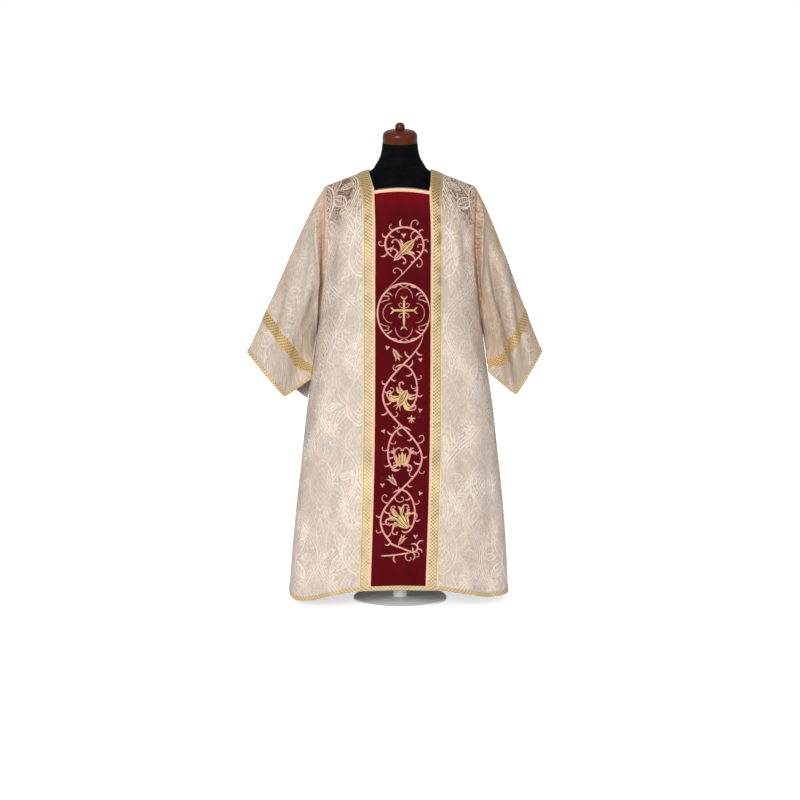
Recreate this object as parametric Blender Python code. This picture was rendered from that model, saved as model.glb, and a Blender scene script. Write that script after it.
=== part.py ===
"""A dalmatic standing on a limbless dress form.

Metres, +Z up. The front faces -Y, and +X is on the right of somebody who looks at the front.
The origin is the middle of the stand's underside.

The garment is cut from a front and a back panel, two open sleeves, an orphrey down the front
and the back, two galloons that run over the shoulders, and bindings along the neck, hem and cuffs.
Every piece of cloth is a wall: a grid of points on its outer face, and the same points moved in.
A piece that lies on another one is made from that piece's points, moved out.
"""

import math
from collections import namedtuple

import bmesh
import bpy
import numpy as np
from mathutils import Matrix, Vector

# ---------------------------------------------------------------- thicknesses and gaps
BROCADE = 0.0020
VELVET = 0.0015
BRAID = 0.0012
SEAM_GAP = 0.0003

# ---------------------------------------------------------------- the cut, seen from the front
NECK_HALF = 0.091
NECK_HEIGHT = 1.2800
SHOULDER_HALF = 0.216
SHOULDER_HEIGHT = 1.2325
SHOULDER_ROUNDING = 0.070
NECK_DROP_FRONT = 0.062
NECK_DROP_BACK = 0.024
ARMHOLE_DEPTH = 0.420
ORPHREY_HALF = 0.0795
GALLOON_WIDTH = 0.0355
NECK_BAND_WIDTH = 0.0120
HEM_BINDING_WIDTH = 0.0130
CUFF_BINDING_WIDTH = 0.0130

# ---------------------------------------------------------------- how finely the walls are cut
ARMHOLE_ROWS = 11
SKIRT_ROWS = 12
NECK_ROW_FRONT = 4
NECK_ROW_BACK = 3
SLEEVE_UPPER_ROWS = 6

# Columns are counted from the middle of a panel: the orphrey and then the galloon end on one,
# and the last column is the side seam.
ORPHREY_COLUMN = 2
GALLOON_COLUMN = 3
SIDE_COLUMNS = 8
EDGE_COLUMN = GALLOON_COLUMN + SIDE_COLUMNS

# One row for each level of the body, from the shoulders down to the hem. front and back are the
# depths in the middle, edge_front and edge_back those where the sleeves are set in, and
# side_round goes from 0, a plain edge, to 1, a side that rounds away to its seam.
BodyLevel = namedtuple("BodyLevel", "height half_width front back edge_front edge_back side_round")
BODY = (
    BodyLevel(1.2800, 0.216, 0.088, 0.090, 0.000, 0.000, 0.0),
    BodyLevel(1.2200, 0.216, 0.097, 0.101, 0.030, 0.028, 0.0),
    BodyLevel(1.1500, 0.212, 0.120, 0.115, 0.055, 0.050, 0.0),
    BodyLevel(1.0500, 0.210, 0.142, 0.124, 0.066, 0.060, 0.0),
    BodyLevel(0.9500, 0.221, 0.152, 0.126, 0.058, 0.052, 0.0),
    BodyLevel(0.8800, 0.233, 0.155, 0.128, 0.036, 0.032, 0.2),
    BodyLevel(0.8130, 0.243, 0.157, 0.131, 0.000, 0.000, 0.6),
    BodyLevel(0.7400, 0.252, 0.160, 0.135, 0.000, 0.000, 1.0),
    BodyLevel(0.5800, 0.276, 0.168, 0.144, 0.000, 0.000, 1.0),
    BodyLevel(0.4560, 0.290, 0.174, 0.151, 0.000, 0.000, 1.0),
    BodyLevel(0.2745, 0.310, 0.182, 0.163, 0.000, 0.000, 1.0),
    BodyLevel(0.1280, 0.322, 0.188, 0.172, 0.000, 0.000, 1.0),
    BodyLevel(0.0100, 0.329, 0.192, 0.178, 0.000, 0.000, 1.0),
)
SECTION_POWER = 2.5

# The hem's height above the floor, from the middle of a panel (0) to its side seam (1).
HemPoint = namedtuple("HemPoint", "across front_left front_right back")
HEM = (
    HemPoint(0.00, 0.0670, 0.0670, 0.0520),
    HemPoint(0.35, 0.0610, 0.0635, 0.0480),
    HemPoint(0.60, 0.0430, 0.0490, 0.0370),
    HemPoint(0.88, 0.0190, 0.0310, 0.0230),
    HemPoint(1.00, 0.0360, 0.0360, 0.0360),
)

# The front's middle hangs a little off the upright, further from the shoulder seam down.
LeanPoint = namedtuple("LeanPoint", "height shift")
LEAN = (
    LeanPoint(1.2165, 0.0060),
    LeanPoint(1.0900, 0.0105),
    LeanPoint(0.9500, 0.0098),
    LeanPoint(0.6200, 0.0085),
    LeanPoint(0.1000, -0.0015),
)
LEAN_STARTS_BELOW = 0.055

# The whole skirt swings a little to the left towards its hem.
SKIRT_SWING = 0.0055
SKIRT_SWING_TOP = 0.450

# The skirt's large soft folds: the column each one runs down, how many columns wide it is, how
# far it stands out at the hem (or in, below zero), and the height where it begins.
Fold = namedtuple("Fold", "column width depth top")
FRONT_FOLDS = (
    Fold(-8.4, 2.2, 0.010, 0.66),
    Fold(-6.3, 1.9, -0.007, 0.58),
    Fold(-4.6, 1.6, 0.005, 0.50),
    Fold(4.9, 1.8, 0.006, 0.52),
    Fold(6.9, 1.9, -0.008, 0.60),
    Fold(8.9, 1.9, 0.009, 0.70),
)
BACK_FOLDS = (
    Fold(-8.6, 2.0, 0.010, 0.72),
    Fold(-6.4, 2.0, -0.009, 0.64),
    Fold(-4.2, 1.8, 0.008, 0.60),
    Fold(4.4, 1.9, 0.007, 0.56),
    Fold(6.5, 2.0, -0.009, 0.66),
    Fold(8.5, 2.1, 0.009, 0.70),
)

# Where the cuff of each sleeve turns: the place round the sleeve, then how far out, how far
# back and how high. The sleeve folds over at the tip and again where it meets the body.
CuffCorner = namedtuple("CuffCorner", "step out depth height")
LEFT_CUFF = (
    CuffCorner(0, 0.453, 0.002, 0.746),
    CuffCorner(10, 0.340, -0.026, 0.609),
    CuffCorner(11, 0.264, -0.046, 0.672),
    CuffCorner(14, 0.279, 0.038, 0.600),
    CuffCorner(22, 0.453, 0.002, 0.746),
)
RIGHT_CUFF = (
    CuffCorner(0, 0.420, 0.002, 0.749),
    CuffCorner(10, 0.343, -0.026, 0.615),
    CuffCorner(11, 0.262, -0.046, 0.690),
    CuffCorner(14, 0.300, 0.032, 0.664),
    CuffCorner(22, 0.420, 0.002, 0.749),
)
# The band round each sleeve keeps its distance from the cuff, except at the inner fold, where it
# runs down to the cuff.
BandLay = namedtuple("BandLay", "step low high")
SLEEVE_BAND = (
    BandLay(0, 0.108, 0.141),
    BandLay(9, 0.108, 0.141),
    BandLay(10, 0.090, 0.122),
    BandLay(11, 0.018, 0.038),
    BandLay(12, 0.056, 0.086),
    BandLay(14, 0.105, 0.138),
    BandLay(22, 0.108, 0.141),
)
CUFF_FULLNESS = 0.022
SLEEVE_FULLNESS = 0.012

# How far a sleeve runs on the way it leaves the armhole before it turns towards its cuff.
SLEEVE_LEAD = 0.045

# ---------------------------------------------------------------- the dress form and its stand
# One row for each level of the form, from the hips up. back_shift moves a level back, and tilt
# tips it forward, in degrees: the neck leans.
FormLevel = namedtuple("FormLevel", "height half_width front back back_shift tilt")
FORM_SHOULDER_CLEARANCE = 0.0005
FORM_BODY = (
    FormLevel(0.560, 0.166, 0.104, 0.108, 0.000, 0.0),
    FormLevel(0.575, 0.172, 0.109, 0.113, 0.000, 0.0),
    FormLevel(0.640, 0.174, 0.110, 0.116, 0.000, 0.0),
    FormLevel(0.720, 0.160, 0.104, 0.102, 0.000, 0.0),
    FormLevel(0.800, 0.143, 0.101, 0.086, 0.000, 0.0),
    FormLevel(0.880, 0.150, 0.112, 0.087, 0.000, 0.0),
    FormLevel(0.960, 0.168, 0.127, 0.096, 0.000, 0.0),
    FormLevel(1.040, 0.180, 0.125, 0.102, 0.000, 0.0),
    FormLevel(1.110, 0.189, 0.108, 0.100, 0.000, 0.0),
    FormLevel(1.170, 0.196, 0.086, 0.086, 0.000, 0.0),
    FormLevel(1.208, 0.199, 0.066, 0.068, 0.000, 0.0),
)
FORM_SHOULDER_WIDTHS = (0.192, 0.172, 0.148, 0.124, 0.103, 0.087)
FORM_SHOULDER_DEPTHS = (0.055, 0.052, 0.050, 0.051, 0.052, 0.053)
FORM_NECK = (
    FormLevel(1.284, 0.0790, 0.0530, 0.0530, 0.000, 2.0),
    FormLevel(1.295, 0.0720, 0.0530, 0.0530, -0.001, 4.0),
    FormLevel(1.309, 0.0630, 0.0530, 0.0530, -0.002, 6.0),
    FormLevel(1.324, 0.0565, 0.0525, 0.0525, -0.004, 8.0),
    FormLevel(1.341, 0.0530, 0.0515, 0.0515, -0.006, 10.0),
    FormLevel(1.357, 0.0515, 0.0510, 0.0510, -0.009, 12.0),
)
FORM_SIDES = 28
FORM_POWER = 2.2
FORM_SHOULDER_POWER = 1.6

# Turned pieces: the radius at each height above the piece's own foot.
TurnedStep = namedtuple("TurnedStep", "radius height")
CAP = (
    TurnedStep(0.0000, 0.0000),
    TurnedStep(0.0488, 0.0000),
    TurnedStep(0.0508, 0.0030),
    TurnedStep(0.0506, 0.0150),
    TurnedStep(0.0495, 0.0240),
    TurnedStep(0.0465, 0.0300),
    TurnedStep(0.0400, 0.0345),
    TurnedStep(0.0240, 0.0380),
    TurnedStep(0.0000, 0.0380),
)
KNOB = (
    TurnedStep(0.0000, 0.0000),
    TurnedStep(0.0128, 0.0000),
    TurnedStep(0.0142, 0.0035),
    TurnedStep(0.0141, 0.0085),
    TurnedStep(0.0125, 0.0135),
    TurnedStep(0.0090, 0.0180),
    TurnedStep(0.0045, 0.0204),
    TurnedStep(0.0000, 0.0204),
)
BASE_RADIUS = 0.140
BASE_THICKNESS = 0.007
BASE = (
    TurnedStep(0.0000, 0.0000),
    TurnedStep(BASE_RADIUS, 0.0000),
    TurnedStep(BASE_RADIUS, 0.0045),
    TurnedStep(BASE_RADIUS - 0.0025, BASE_THICKNESS),
    TurnedStep(0.0240, BASE_THICKNESS),
    TurnedStep(0.0215, 0.0300),
    TurnedStep(0.0000, 0.0300),
)
POLE_RADIUS = 0.0150
TURNED_SIDES = 32


# ---------------------------------------------------------------- materials and solids
def finish(name, colour, roughness, metallic=0.0):
    """Return a plain material."""
    material = bpy.data.materials.new(name)
    material.use_nodes = True
    shader = material.node_tree.nodes["Principled BSDF"]
    shader.inputs["Base Color"].default_value = (*colour, 1.0)
    shader.inputs["Roughness"].default_value = roughness
    shader.inputs["Metallic"].default_value = metallic
    return material


def solid(name, points, faces, material, smooth=True):
    """Make one closed object from points and faces, with its faces turned out."""
    mesh = bpy.data.meshes.new(name)
    mesh.from_pydata([tuple(point) for point in points], [], faces)
    shape = bmesh.new()
    shape.from_mesh(mesh)
    bmesh.ops.recalc_face_normals(shape, faces=shape.faces)
    shape.to_mesh(mesh)
    shape.free()
    if smooth:
        mesh.shade_smooth()
        mesh.set_sharp_from_angle(angle=math.radians(40.0))
    mesh.materials.append(material)
    piece = bpy.data.objects.new(name, mesh)
    bpy.context.scene.collection.objects.link(piece)
    return piece


def wall(name, outer, inner, material, missing=None, closed=False, mirrored=False):
    """Make a wall of cloth from two grids of points, without the cells that missing() names.

    A mirrored wall splits its cells the other way, as a strip that runs against its panel must.
    The faces along a rim are split by height, so that the rims on both sides of a seam match.
    """
    rows, columns = outer.shape[:2]
    last = columns if closed else columns - 1
    cells = [
        (row, column, (column + 1) % columns)
        for row in range(rows - 1)
        for column in range(last)
        if missing is None or not missing(row, column)
    ]
    used = {}
    points = []

    def corner(layer, row, column):
        key = (layer, row, column)
        if key not in used:
            used[key] = len(points)
            points.append((outer, inner)[layer][row, column])
        return used[key]

    faces = []
    rims = {}
    for row, column, following in cells:
        corners = ((row, column), (row + 1, column), (row + 1, following), (row, following))
        for layer in (0, 1):
            a, b, c, d = (corner(layer, *place) for place in corners)
            faces += [(a, b, d), (b, c, d)] if mirrored else [(a, b, c), (a, c, d)]
        for start, end in zip(corners, corners[1:] + corners[:1]):
            rims[(start, end)] = rims.get((start, end), 0) + 1
    for start, end in rims:
        if (end, start) not in rims:
            a, b = corner(0, *start), corner(0, *end)
            c, d = corner(1, *end), corner(1, *start)
            rising = points[a][2] < points[b][2]
            faces += [(a, b, c), (a, c, d)] if rising else [(a, b, d), (b, c, d)]
    return solid(name, points, faces, material)


def loft(name, rings, material):
    """Join closed rings of points, one above the other, and close both ends."""
    sides = len(rings[0])
    points = [point for ring in rings for point in ring]
    faces = [tuple(range(sides)), tuple(range(len(points) - sides, len(points)))]
    for level in range(len(rings) - 1):
        low = level * sides
        for side in range(sides):
            following = (side + 1) % sides
            faces.append((low + side, low + following, low + sides + following, low + sides + side))
    return solid(name, points, faces, material)


def turned(name, steps, material, place):
    """Turn a profile round its own upright axis, then put it in its place."""
    rings = []
    for step in steps:
        if step.radius == 0.0:
            continue
        angles = [2.0 * math.pi * side / TURNED_SIDES for side in range(TURNED_SIDES)]
        rings.append([
            place @ Vector((step.radius * math.cos(a), step.radius * math.sin(a), step.height))
            for a in angles
        ])
    return loft(name, rings, material)


# ---------------------------------------------------------------- reading the tables
def smooth_value(places, values, place):
    """Read a table of values between its rows, on a curve that never swings past them."""
    places = np.asarray(places, dtype=float)
    values = np.asarray(values, dtype=float)
    if places[0] > places[-1]:
        places = places[::-1]
        values = values[::-1]
    place = min(max(place, places[0]), places[-1])
    steps = np.diff(places)
    slopes = np.diff(values) / steps
    tangents = np.zeros(len(places))
    for row in range(1, len(places) - 1):
        if slopes[row - 1] * slopes[row] > 0.0:
            weight_low = 2.0 * steps[row] + steps[row - 1]
            weight_high = steps[row] + 2.0 * steps[row - 1]
            tangents[row] = (weight_low + weight_high) / (
                weight_low / slopes[row - 1] + weight_high / slopes[row]
            )
    tangents[0] = slopes[0]
    tangents[-1] = slopes[-1]
    row = int(min(np.searchsorted(places, place, side="right") - 1, len(steps) - 1))
    t = (place - places[row]) / steps[row]
    return (
        values[row] * (1 + 2 * t) * (1 - t) ** 2
        + values[row + 1] * t * t * (3 - 2 * t)
        + steps[row] * (tangents[row] * t * (1 - t) ** 2 - tangents[row + 1] * t * t * (1 - t))
    )


def column_of(rows, name):
    """Return one named column of a table."""
    return [getattr(row, name) for row in rows]


def body_size(name, height):
    """Return one of the body's sizes at a height."""
    return smooth_value(column_of(BODY, "height"), column_of(BODY, name), height)


# ---------------------------------------------------------------- the body panels
def lean(height, drop):
    """Return how far the front's middle lies off the upright, and not at all at the shoulder."""
    share = min(drop / LEAN_STARTS_BELOW, 1.0)
    shift = smooth_value(column_of(LEAN, "height"), column_of(LEAN, "shift"), height)
    return shift * share * share * (3.0 - 2.0 * share)


def column_out(column, drop, half_width, neck_drop):
    """Return how far out a column lies at a drop below the shoulder line."""
    count = abs(column)
    slant = max(0.0, 1.0 - drop / neck_drop)
    orphrey_edge = ORPHREY_HALF + (NECK_HALF - ORPHREY_HALF) * slant
    galloon_edge = orphrey_edge + GALLOON_WIDTH
    if count <= ORPHREY_COLUMN:
        return orphrey_edge * count / ORPHREY_COLUMN
    if count <= GALLOON_COLUMN:
        share = (count - ORPHREY_COLUMN) / (GALLOON_COLUMN - ORPHREY_COLUMN)
        return orphrey_edge + GALLOON_WIDTH * share
    share = (count - GALLOON_COLUMN) / SIDE_COLUMNS
    return galloon_edge + (half_width - galloon_edge) * math.sin(0.5 * math.pi * share)


def panel_point(column, share_down, drop, back):
    """Return a point of the body's outer face.

    column runs from the left side seam to the right one, share_down from 0 at the shoulder
    line to 1 at the hem, and drop is the height below the shoulder line.
    """
    count = abs(column)
    sign = -1.0 if column < 0 else 1.0
    neck_drop = NECK_DROP_BACK if back else NECK_DROP_FRONT
    top_out = column_out(column, 0.0, SHOULDER_HALF, neck_drop)
    slope = (NECK_HEIGHT - SHOULDER_HEIGHT) / (SHOULDER_HALF - NECK_HALF)
    top = NECK_HEIGHT - slope * max(0.0, top_out - NECK_HALF)
    hem_half = BODY[-1].half_width
    across = column_out(column, neck_drop, hem_half, neck_drop) / hem_half
    hem_column = "back" if back else ("front_left" if sign < 0 else "front_right")
    hem = smooth_value(column_of(HEM, "across"), column_of(HEM, hem_column), across)
    height = top + (hem - top) * share_down

    half_width = body_size("half_width", height)
    depth = body_size("back" if back else "front", height)
    edge = body_size("edge_back" if back else "edge_front", height)
    out = column_out(column, drop, half_width, neck_drop)
    share = min(out / half_width, 1.0)
    root = 1.0 + (SECTION_POWER - 1.0) * body_size("side_round", height)
    section = edge + (depth - edge) * (1.0 - share ** SECTION_POWER) ** (1.0 / root)
    if drop < SHOULDER_ROUNDING:
        section *= math.sqrt(1.0 - (1.0 - drop / SHOULDER_ROUNDING) ** 2)

    fold_out = 0.0
    for fold in BACK_FOLDS if back else FRONT_FOLDS:
        reach = (column - fold.column) / fold.width
        if abs(reach) < 1.0 and height < fold.top:
            growth = (fold.top - height) / fold.top
            fold_out += fold.depth * math.cos(0.5 * math.pi * reach) ** 2 * growth ** 1.5
    swell = 1.0 if fold_out == 0.0 else 1.0 + fold_out / math.hypot(out, section)

    middle = (0.0 if back else lean(height, drop)) * (1.0 - share ** 2)
    middle -= SKIRT_SWING * max(0.0, 1.0 - height / SKIRT_SWING_TOP) ** 2
    facing = 1.0 if back else -1.0
    return (
        sign * out * swell + middle,
        facing * (section * swell + 0.5 * SEAM_GAP),
        height,
    )


def normals_of(points, closed=False):
    """Return the outward direction at each point of a grid."""
    down = np.gradient(points, axis=0)
    if closed:
        across = (np.roll(points, -1, axis=1) - np.roll(points, 1, axis=1)) / 2.0
    else:
        across = np.gradient(points, axis=1)
    direction = np.cross(down, across)
    return direction / np.linalg.norm(direction, axis=2, keepdims=True)


def unit(directions):
    """Return directions with a length of one."""
    return directions / np.linalg.norm(directions, axis=-1, keepdims=True)


Panel = namedtuple("Panel", "points normals neck_row")


def body_panel(back):
    """Return the grid of a front or back panel, from the left seam of whoever faces it."""
    neck_row = NECK_ROW_BACK if back else NECK_ROW_FRONT
    neck_drop = NECK_DROP_BACK if back else NECK_DROP_FRONT
    power = math.log(neck_drop / ARMHOLE_DEPTH) / math.log(neck_row / ARMHOLE_ROWS)
    drops = [ARMHOLE_DEPTH * (row / ARMHOLE_ROWS) ** power for row in range(ARMHOLE_ROWS + 1)]
    skirt = NECK_HEIGHT - HEM[0].front_left - ARMHOLE_DEPTH
    drops += [ARMHOLE_DEPTH + skirt * (row + 1) / SKIRT_ROWS for row in range(SKIRT_ROWS)]
    facing = -1 if back else 1
    points = np.array([
        [
            panel_point(facing * column, drop / drops[-1], drop, back)
            for column in range(-EDGE_COLUMN, EDGE_COLUMN + 1)
        ]
        for drop in drops
    ])
    normals = normals_of(points)
    normals[0, :, 1] = 0.0
    normals[ARMHOLE_ROWS:, 0, 1] = 0.0
    normals[ARMHOLE_ROWS:, -1, 1] = 0.0
    return Panel(points, unit(normals), neck_row)


def sample(grid, rows, columns):
    """Read a grid at rows and columns that may fall between its own."""
    rows = np.clip(rows, 0, grid.shape[0] - 1)
    columns = np.clip(columns, 0, grid.shape[1] - 1)
    row_low = np.minimum(np.floor(rows).astype(int), grid.shape[0] - 2)
    column_low = np.minimum(np.floor(columns).astype(int), grid.shape[1] - 2)
    down = (rows - row_low)[:, None, None]
    right = (columns - column_low)[None, :, None]
    near = grid[row_low][:, column_low] * (1 - right) + grid[row_low][:, column_low + 1] * right
    far = grid[row_low + 1][:, column_low] * (1 - right)
    far = far + grid[row_low + 1][:, column_low + 1] * right
    return near * (1 - down) + far * down


def strip(panel, rows, columns):
    """Return the points and directions of a strip that follows a panel."""
    points = sample(panel.points, np.array(rows), np.array(columns) + EDGE_COLUMN)
    normals = sample(panel.normals, np.array(rows), np.array(columns) + EDGE_COLUMN)
    return points, unit(normals)


def laid_on(name, points, normals, thickness, material, closed=False, mirrored=False):
    """Make a strip that lies on a panel, just clear of it."""
    low = points + normals * SEAM_GAP
    high = points + normals * (SEAM_GAP + thickness)
    return wall(name, high, low, material, closed=closed, mirrored=mirrored)


def rows_up_to(first, last):
    """Return a first row, the whole rows after it and a last row."""
    return [first] + [row for row in range(math.floor(first) + 1, math.ceil(last))] + [last]


def rows_for(panel, row, distance):
    """Return how many rows a distance down the middle of a panel covers from a row."""
    points = panel.points[:, EDGE_COLUMN]
    low = min(int(row), len(points) - 2)
    return distance / np.linalg.norm(points[low + 1] - points[low])


# ---------------------------------------------------------------- the sleeves
def armhole_of(front, back, right):
    """Return the loop of the armhole: its points, their directions and the way out of it."""
    front_edge = -1 if right else 0
    back_edge = 0 if right else -1
    front_rows = range(1, ARMHOLE_ROWS)
    back_rows = range(ARMHOLE_ROWS - 1, 0, -1)

    def edge(panel, row, place):
        point = panel.points[row, place]
        beside = panel.points[row, place + (1 if place == 0 else -1)]
        return point, panel.normals[row, place], unit(point - beside)

    def seam(row):
        near = edge(front, row, front_edge)
        far = edge(back, row, back_edge)
        ways = unit(near[2] + far[2])
        return (near[0] + far[0]) / 2.0, unit(near[1] + far[1]), ways

    loop = [seam(0)]
    loop += [edge(front, row, front_edge) for row in front_rows]
    loop += [seam(ARMHOLE_ROWS)]
    loop += [edge(back, row, back_edge) for row in back_rows]
    points, normals, ways = (np.array(values) for values in zip(*loop))
    normals[ARMHOLE_ROWS] = (0.0, 0.0, -1.0)
    return points + ways * SEAM_GAP, normals, ways


def cuff_of(corners, right):
    """Return the loop of the cuff, which turns at its corners and bulges between them."""
    sign = 1.0 if right else -1.0
    loop = []
    for step in range(corners[-1].step):
        following = next(row for row, corner in enumerate(corners) if corner.step > step)
        start, end = corners[following - 1], corners[following]
        share = (step - start.step) / (end.step - start.step)
        bulge = 0.0
        if following in (1, len(corners) - 1):
            bulge = CUFF_FULLNESS * math.sin(math.pi * share) ** 0.8
            bulge *= -1.0 if following == 1 else 1.0
        loop.append((
            sign * (start.out + (end.out - start.out) * share),
            start.depth + (end.depth - start.depth) * share + bulge,
            start.height + (end.height - start.height) * share,
        ))
    return np.array(loop)


def sleeve_grid(front, back, corners, right):
    """Return the grid of a sleeve: rulings from the armhole to the cuff, with some fullness."""
    armhole, armhole_normals, ways = armhole_of(front, back, right)
    cuff = cuff_of(corners, right)
    lengths = np.linalg.norm(cuff - armhole, axis=1)
    lay_steps = [lay.step for lay in SLEEVE_BAND]
    band_low = np.interp(range(len(lengths)), lay_steps, [lay.low for lay in SLEEVE_BAND])
    band_high = np.interp(range(len(lengths)), lay_steps, [lay.high for lay in SLEEVE_BAND])
    edge_shares = [1.0 - lay / lengths for lay in (
        band_high, band_low, 0.5 * (band_low + CUFF_BINDING_WIDTH), CUFF_BINDING_WIDTH, 0.0
    )]
    upper_shares = [edge_shares[0] * row / SLEEVE_UPPER_ROWS for row in range(SLEEVE_UPPER_ROWS)]
    shares = np.array(upper_shares + edge_shares)[:, :, None]
    lead = SLEEVE_LEAD * np.sqrt(shares) * (1.0 - shares) ** 2
    points = armhole + (cuff - armhole) * shares + ways * lead

    steps = np.arange(len(armhole))
    from_top = np.minimum(steps, len(armhole) - steps)
    facing = np.where(steps < ARMHOLE_ROWS, -1.0, 1.0)
    side_weight = np.sin(math.pi * from_top / ARMHOLE_ROWS) * facing
    swell = np.sin(math.pi * shares[:, :, 0])
    points[:, :, 1] += SLEEVE_FULLNESS * swell * side_weight

    normals = normals_of(points, closed=True) * (-1.0 if right else 1.0)
    normals[0] = armhole_normals
    return points, normals


def sleeve(side, front, back, corners, brocade, braid):
    """Make a sleeve with its band and the binding of its cuff."""
    points, normals = sleeve_grid(front, back, corners, side == "right")
    band = SLEEVE_UPPER_ROWS
    binding = band + 3
    wall("sleeve_" + side, points, points - normals * BROCADE, brocade, closed=True)
    band_rows = slice(band, band + 2)
    binding_rows = slice(binding, binding + 2)
    laid_on(
        "sleeve_band_" + side, points[band_rows], normals[band_rows], BRAID, braid, closed=True
    )
    laid_on(
        "cuff_binding_" + side, points[binding_rows], normals[binding_rows], BRAID, braid,
        closed=True,
    )


# ---------------------------------------------------------------- the garment
def make_panel(name, panel, brocade):
    """Make a body panel with its neck opening left out."""
    def in_neck(row, column):
        return row < panel.neck_row and abs(column + 0.5 - EDGE_COLUMN) < ORPHREY_COLUMN

    wall(name, panel.points, panel.points - panel.normals * BROCADE, brocade, missing=in_neck)


def make_orphrey(side, panel, velvet, edging, braid):
    """Make the velvet panel, the band at its top and the hem's binding below it."""
    last = ARMHOLE_ROWS + SKIRT_ROWS
    band_low = panel.neck_row + rows_for(panel, panel.neck_row, NECK_BAND_WIDTH)
    gap = rows_for(panel, panel.neck_row, SEAM_GAP)
    hem_high = last - rows_for(panel, last, HEM_BINDING_WIDTH)
    hem_gap = rows_for(panel, last, SEAM_GAP)
    edge = ORPHREY_COLUMN * (1.0 - SEAM_GAP / ORPHREY_HALF)
    columns = [-edge, -1.0, 0.0, 1.0, edge]
    rows = rows_up_to(band_low + gap, hem_high - hem_gap)
    laid_on("orphrey_" + side, *strip(panel, rows, columns), VELVET, velvet)
    rows = [panel.neck_row, band_low]
    laid_on("neck_band_" + side, *strip(panel, rows, columns), BRAID, edging)
    columns = list(range(-EDGE_COLUMN, EDGE_COLUMN + 1))
    laid_on("hem_binding_" + side, *strip(panel, [hem_high, last], columns), BRAID, braid)


def make_galloon(side, front, back, braid):
    """Make a galloon that runs from the front hem over the shoulder to the back hem."""
    sign = 1.0 if side == "right" else -1.0
    last = ARMHOLE_ROWS + SKIRT_ROWS
    lowest = last - rows_for(front, last, HEM_BINDING_WIDTH + SEAM_GAP)
    rows = rows_up_to(0.0, lowest)
    columns = sorted([sign * ORPHREY_COLUMN, sign * GALLOON_COLUMN])
    front_points, front_normals = strip(front, rows[::-1], columns)
    back_columns = [-column for column in columns]
    back_points, back_normals = strip(back, rows[1:], back_columns)
    points = np.concatenate([front_points, back_points])
    normals = np.concatenate([front_normals, back_normals])
    laid_on("galloon_" + side, points, normals, BRAID, braid, mirrored=True)


def make_garment():
    """Make all the cloth."""
    brocade = finish("brocade", (0.72, 0.60, 0.48), 0.45)
    velvet = finish("velvet", (0.10, 0.004, 0.010), 0.80)
    braid = finish("gold braid", (0.70, 0.55, 0.28), 0.45)
    edging = finish("peach edging", (0.85, 0.58, 0.42), 0.60)
    front = body_panel(back=False)
    back = body_panel(back=True)
    make_panel("front_body", front, brocade)
    make_panel("back_body", back, brocade)
    make_orphrey("front", front, velvet, edging, braid)
    make_orphrey("back", back, velvet, edging, braid)
    make_galloon("left", front, back, braid)
    make_galloon("right", front, back, braid)
    sleeve("left", front, back, LEFT_CUFF, brocade, braid)
    sleeve("right", front, back, RIGHT_CUFF, brocade, braid)


# ---------------------------------------------------------------- the dress form
def form_ring(level, power):
    """Return one ring of the form: a soft oval, deeper or flatter at the front than behind."""
    ring = []
    tilt = math.tan(math.radians(level.tilt))
    for side in range(FORM_SIDES):
        angle = 2.0 * math.pi * side / FORM_SIDES
        out = math.copysign(abs(math.cos(angle)) ** (2.0 / power), math.cos(angle))
        along = math.copysign(abs(math.sin(angle)) ** (2.0 / power), math.sin(angle))
        depth = level.back if along > 0.0 else level.front
        y = depth * along
        ring.append((level.half_width * out, y + level.back_shift, level.height + y * tilt))
    return ring


def neck_top_place():
    """Return the place of what stands on the neck, tipped forward with it."""
    top = FORM_NECK[-1]
    tip = Matrix.Rotation(math.radians(top.tilt), 4, "X")
    return Matrix.Translation((0.0, top.back_shift, top.height)) @ tip


def make_form():
    """Make the form, its wooden cap and knob, and the stand."""
    jersey = finish("black jersey", (0.012, 0.012, 0.014), 0.85)
    wood = finish("turned wood", (0.22, 0.07, 0.03), 0.35)
    steel = finish("white steel", (0.80, 0.80, 0.79), 0.40)
    slope = (NECK_HEIGHT - SHOULDER_HEIGHT) / (SHOULDER_HALF - NECK_HALF)
    under_cloth = (BROCADE + FORM_SHOULDER_CLEARANCE) * math.hypot(1.0, slope)
    shoulders = [
        FormLevel(
            NECK_HEIGHT - under_cloth - slope * (width - NECK_HALF), width, depth, depth, 0.0, 0.0
        )
        for width, depth in zip(FORM_SHOULDER_WIDTHS, FORM_SHOULDER_DEPTHS)
    ]
    rings = [form_ring(level, FORM_POWER) for level in FORM_BODY]
    rings += [form_ring(level, FORM_SHOULDER_POWER) for level in shoulders]
    rings += [form_ring(level, FORM_POWER) for level in FORM_NECK]
    loft("form_torso", rings, jersey)

    on_neck = neck_top_place()
    lift = Matrix.Translation((0.0, 0.0, SEAM_GAP))
    on_cap = Matrix.Translation((0.0, 0.0, CAP[-1].height + 2.0 * SEAM_GAP))
    turned("form_cap", CAP, wood, on_neck @ lift)
    turned("form_knob", KNOB, wood, on_neck @ on_cap)

    turned("stand_base", BASE, steel, Matrix.Identity(4))
    foot = BASE[-1].height + SEAM_GAP
    pole = (
        TurnedStep(POLE_RADIUS, foot),
        TurnedStep(POLE_RADIUS, FORM_BODY[0].height - SEAM_GAP),
    )
    turned("stand_pole", pole, steel, Matrix.Identity(4))


for old in list(bpy.data.objects):
    bpy.data.objects.remove(old, do_unlink=True)
make_garment()
make_form()
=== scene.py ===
import math
from collections import namedtuple

import bpy
import numpy as np
from mathutils import Matrix, Vector


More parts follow.
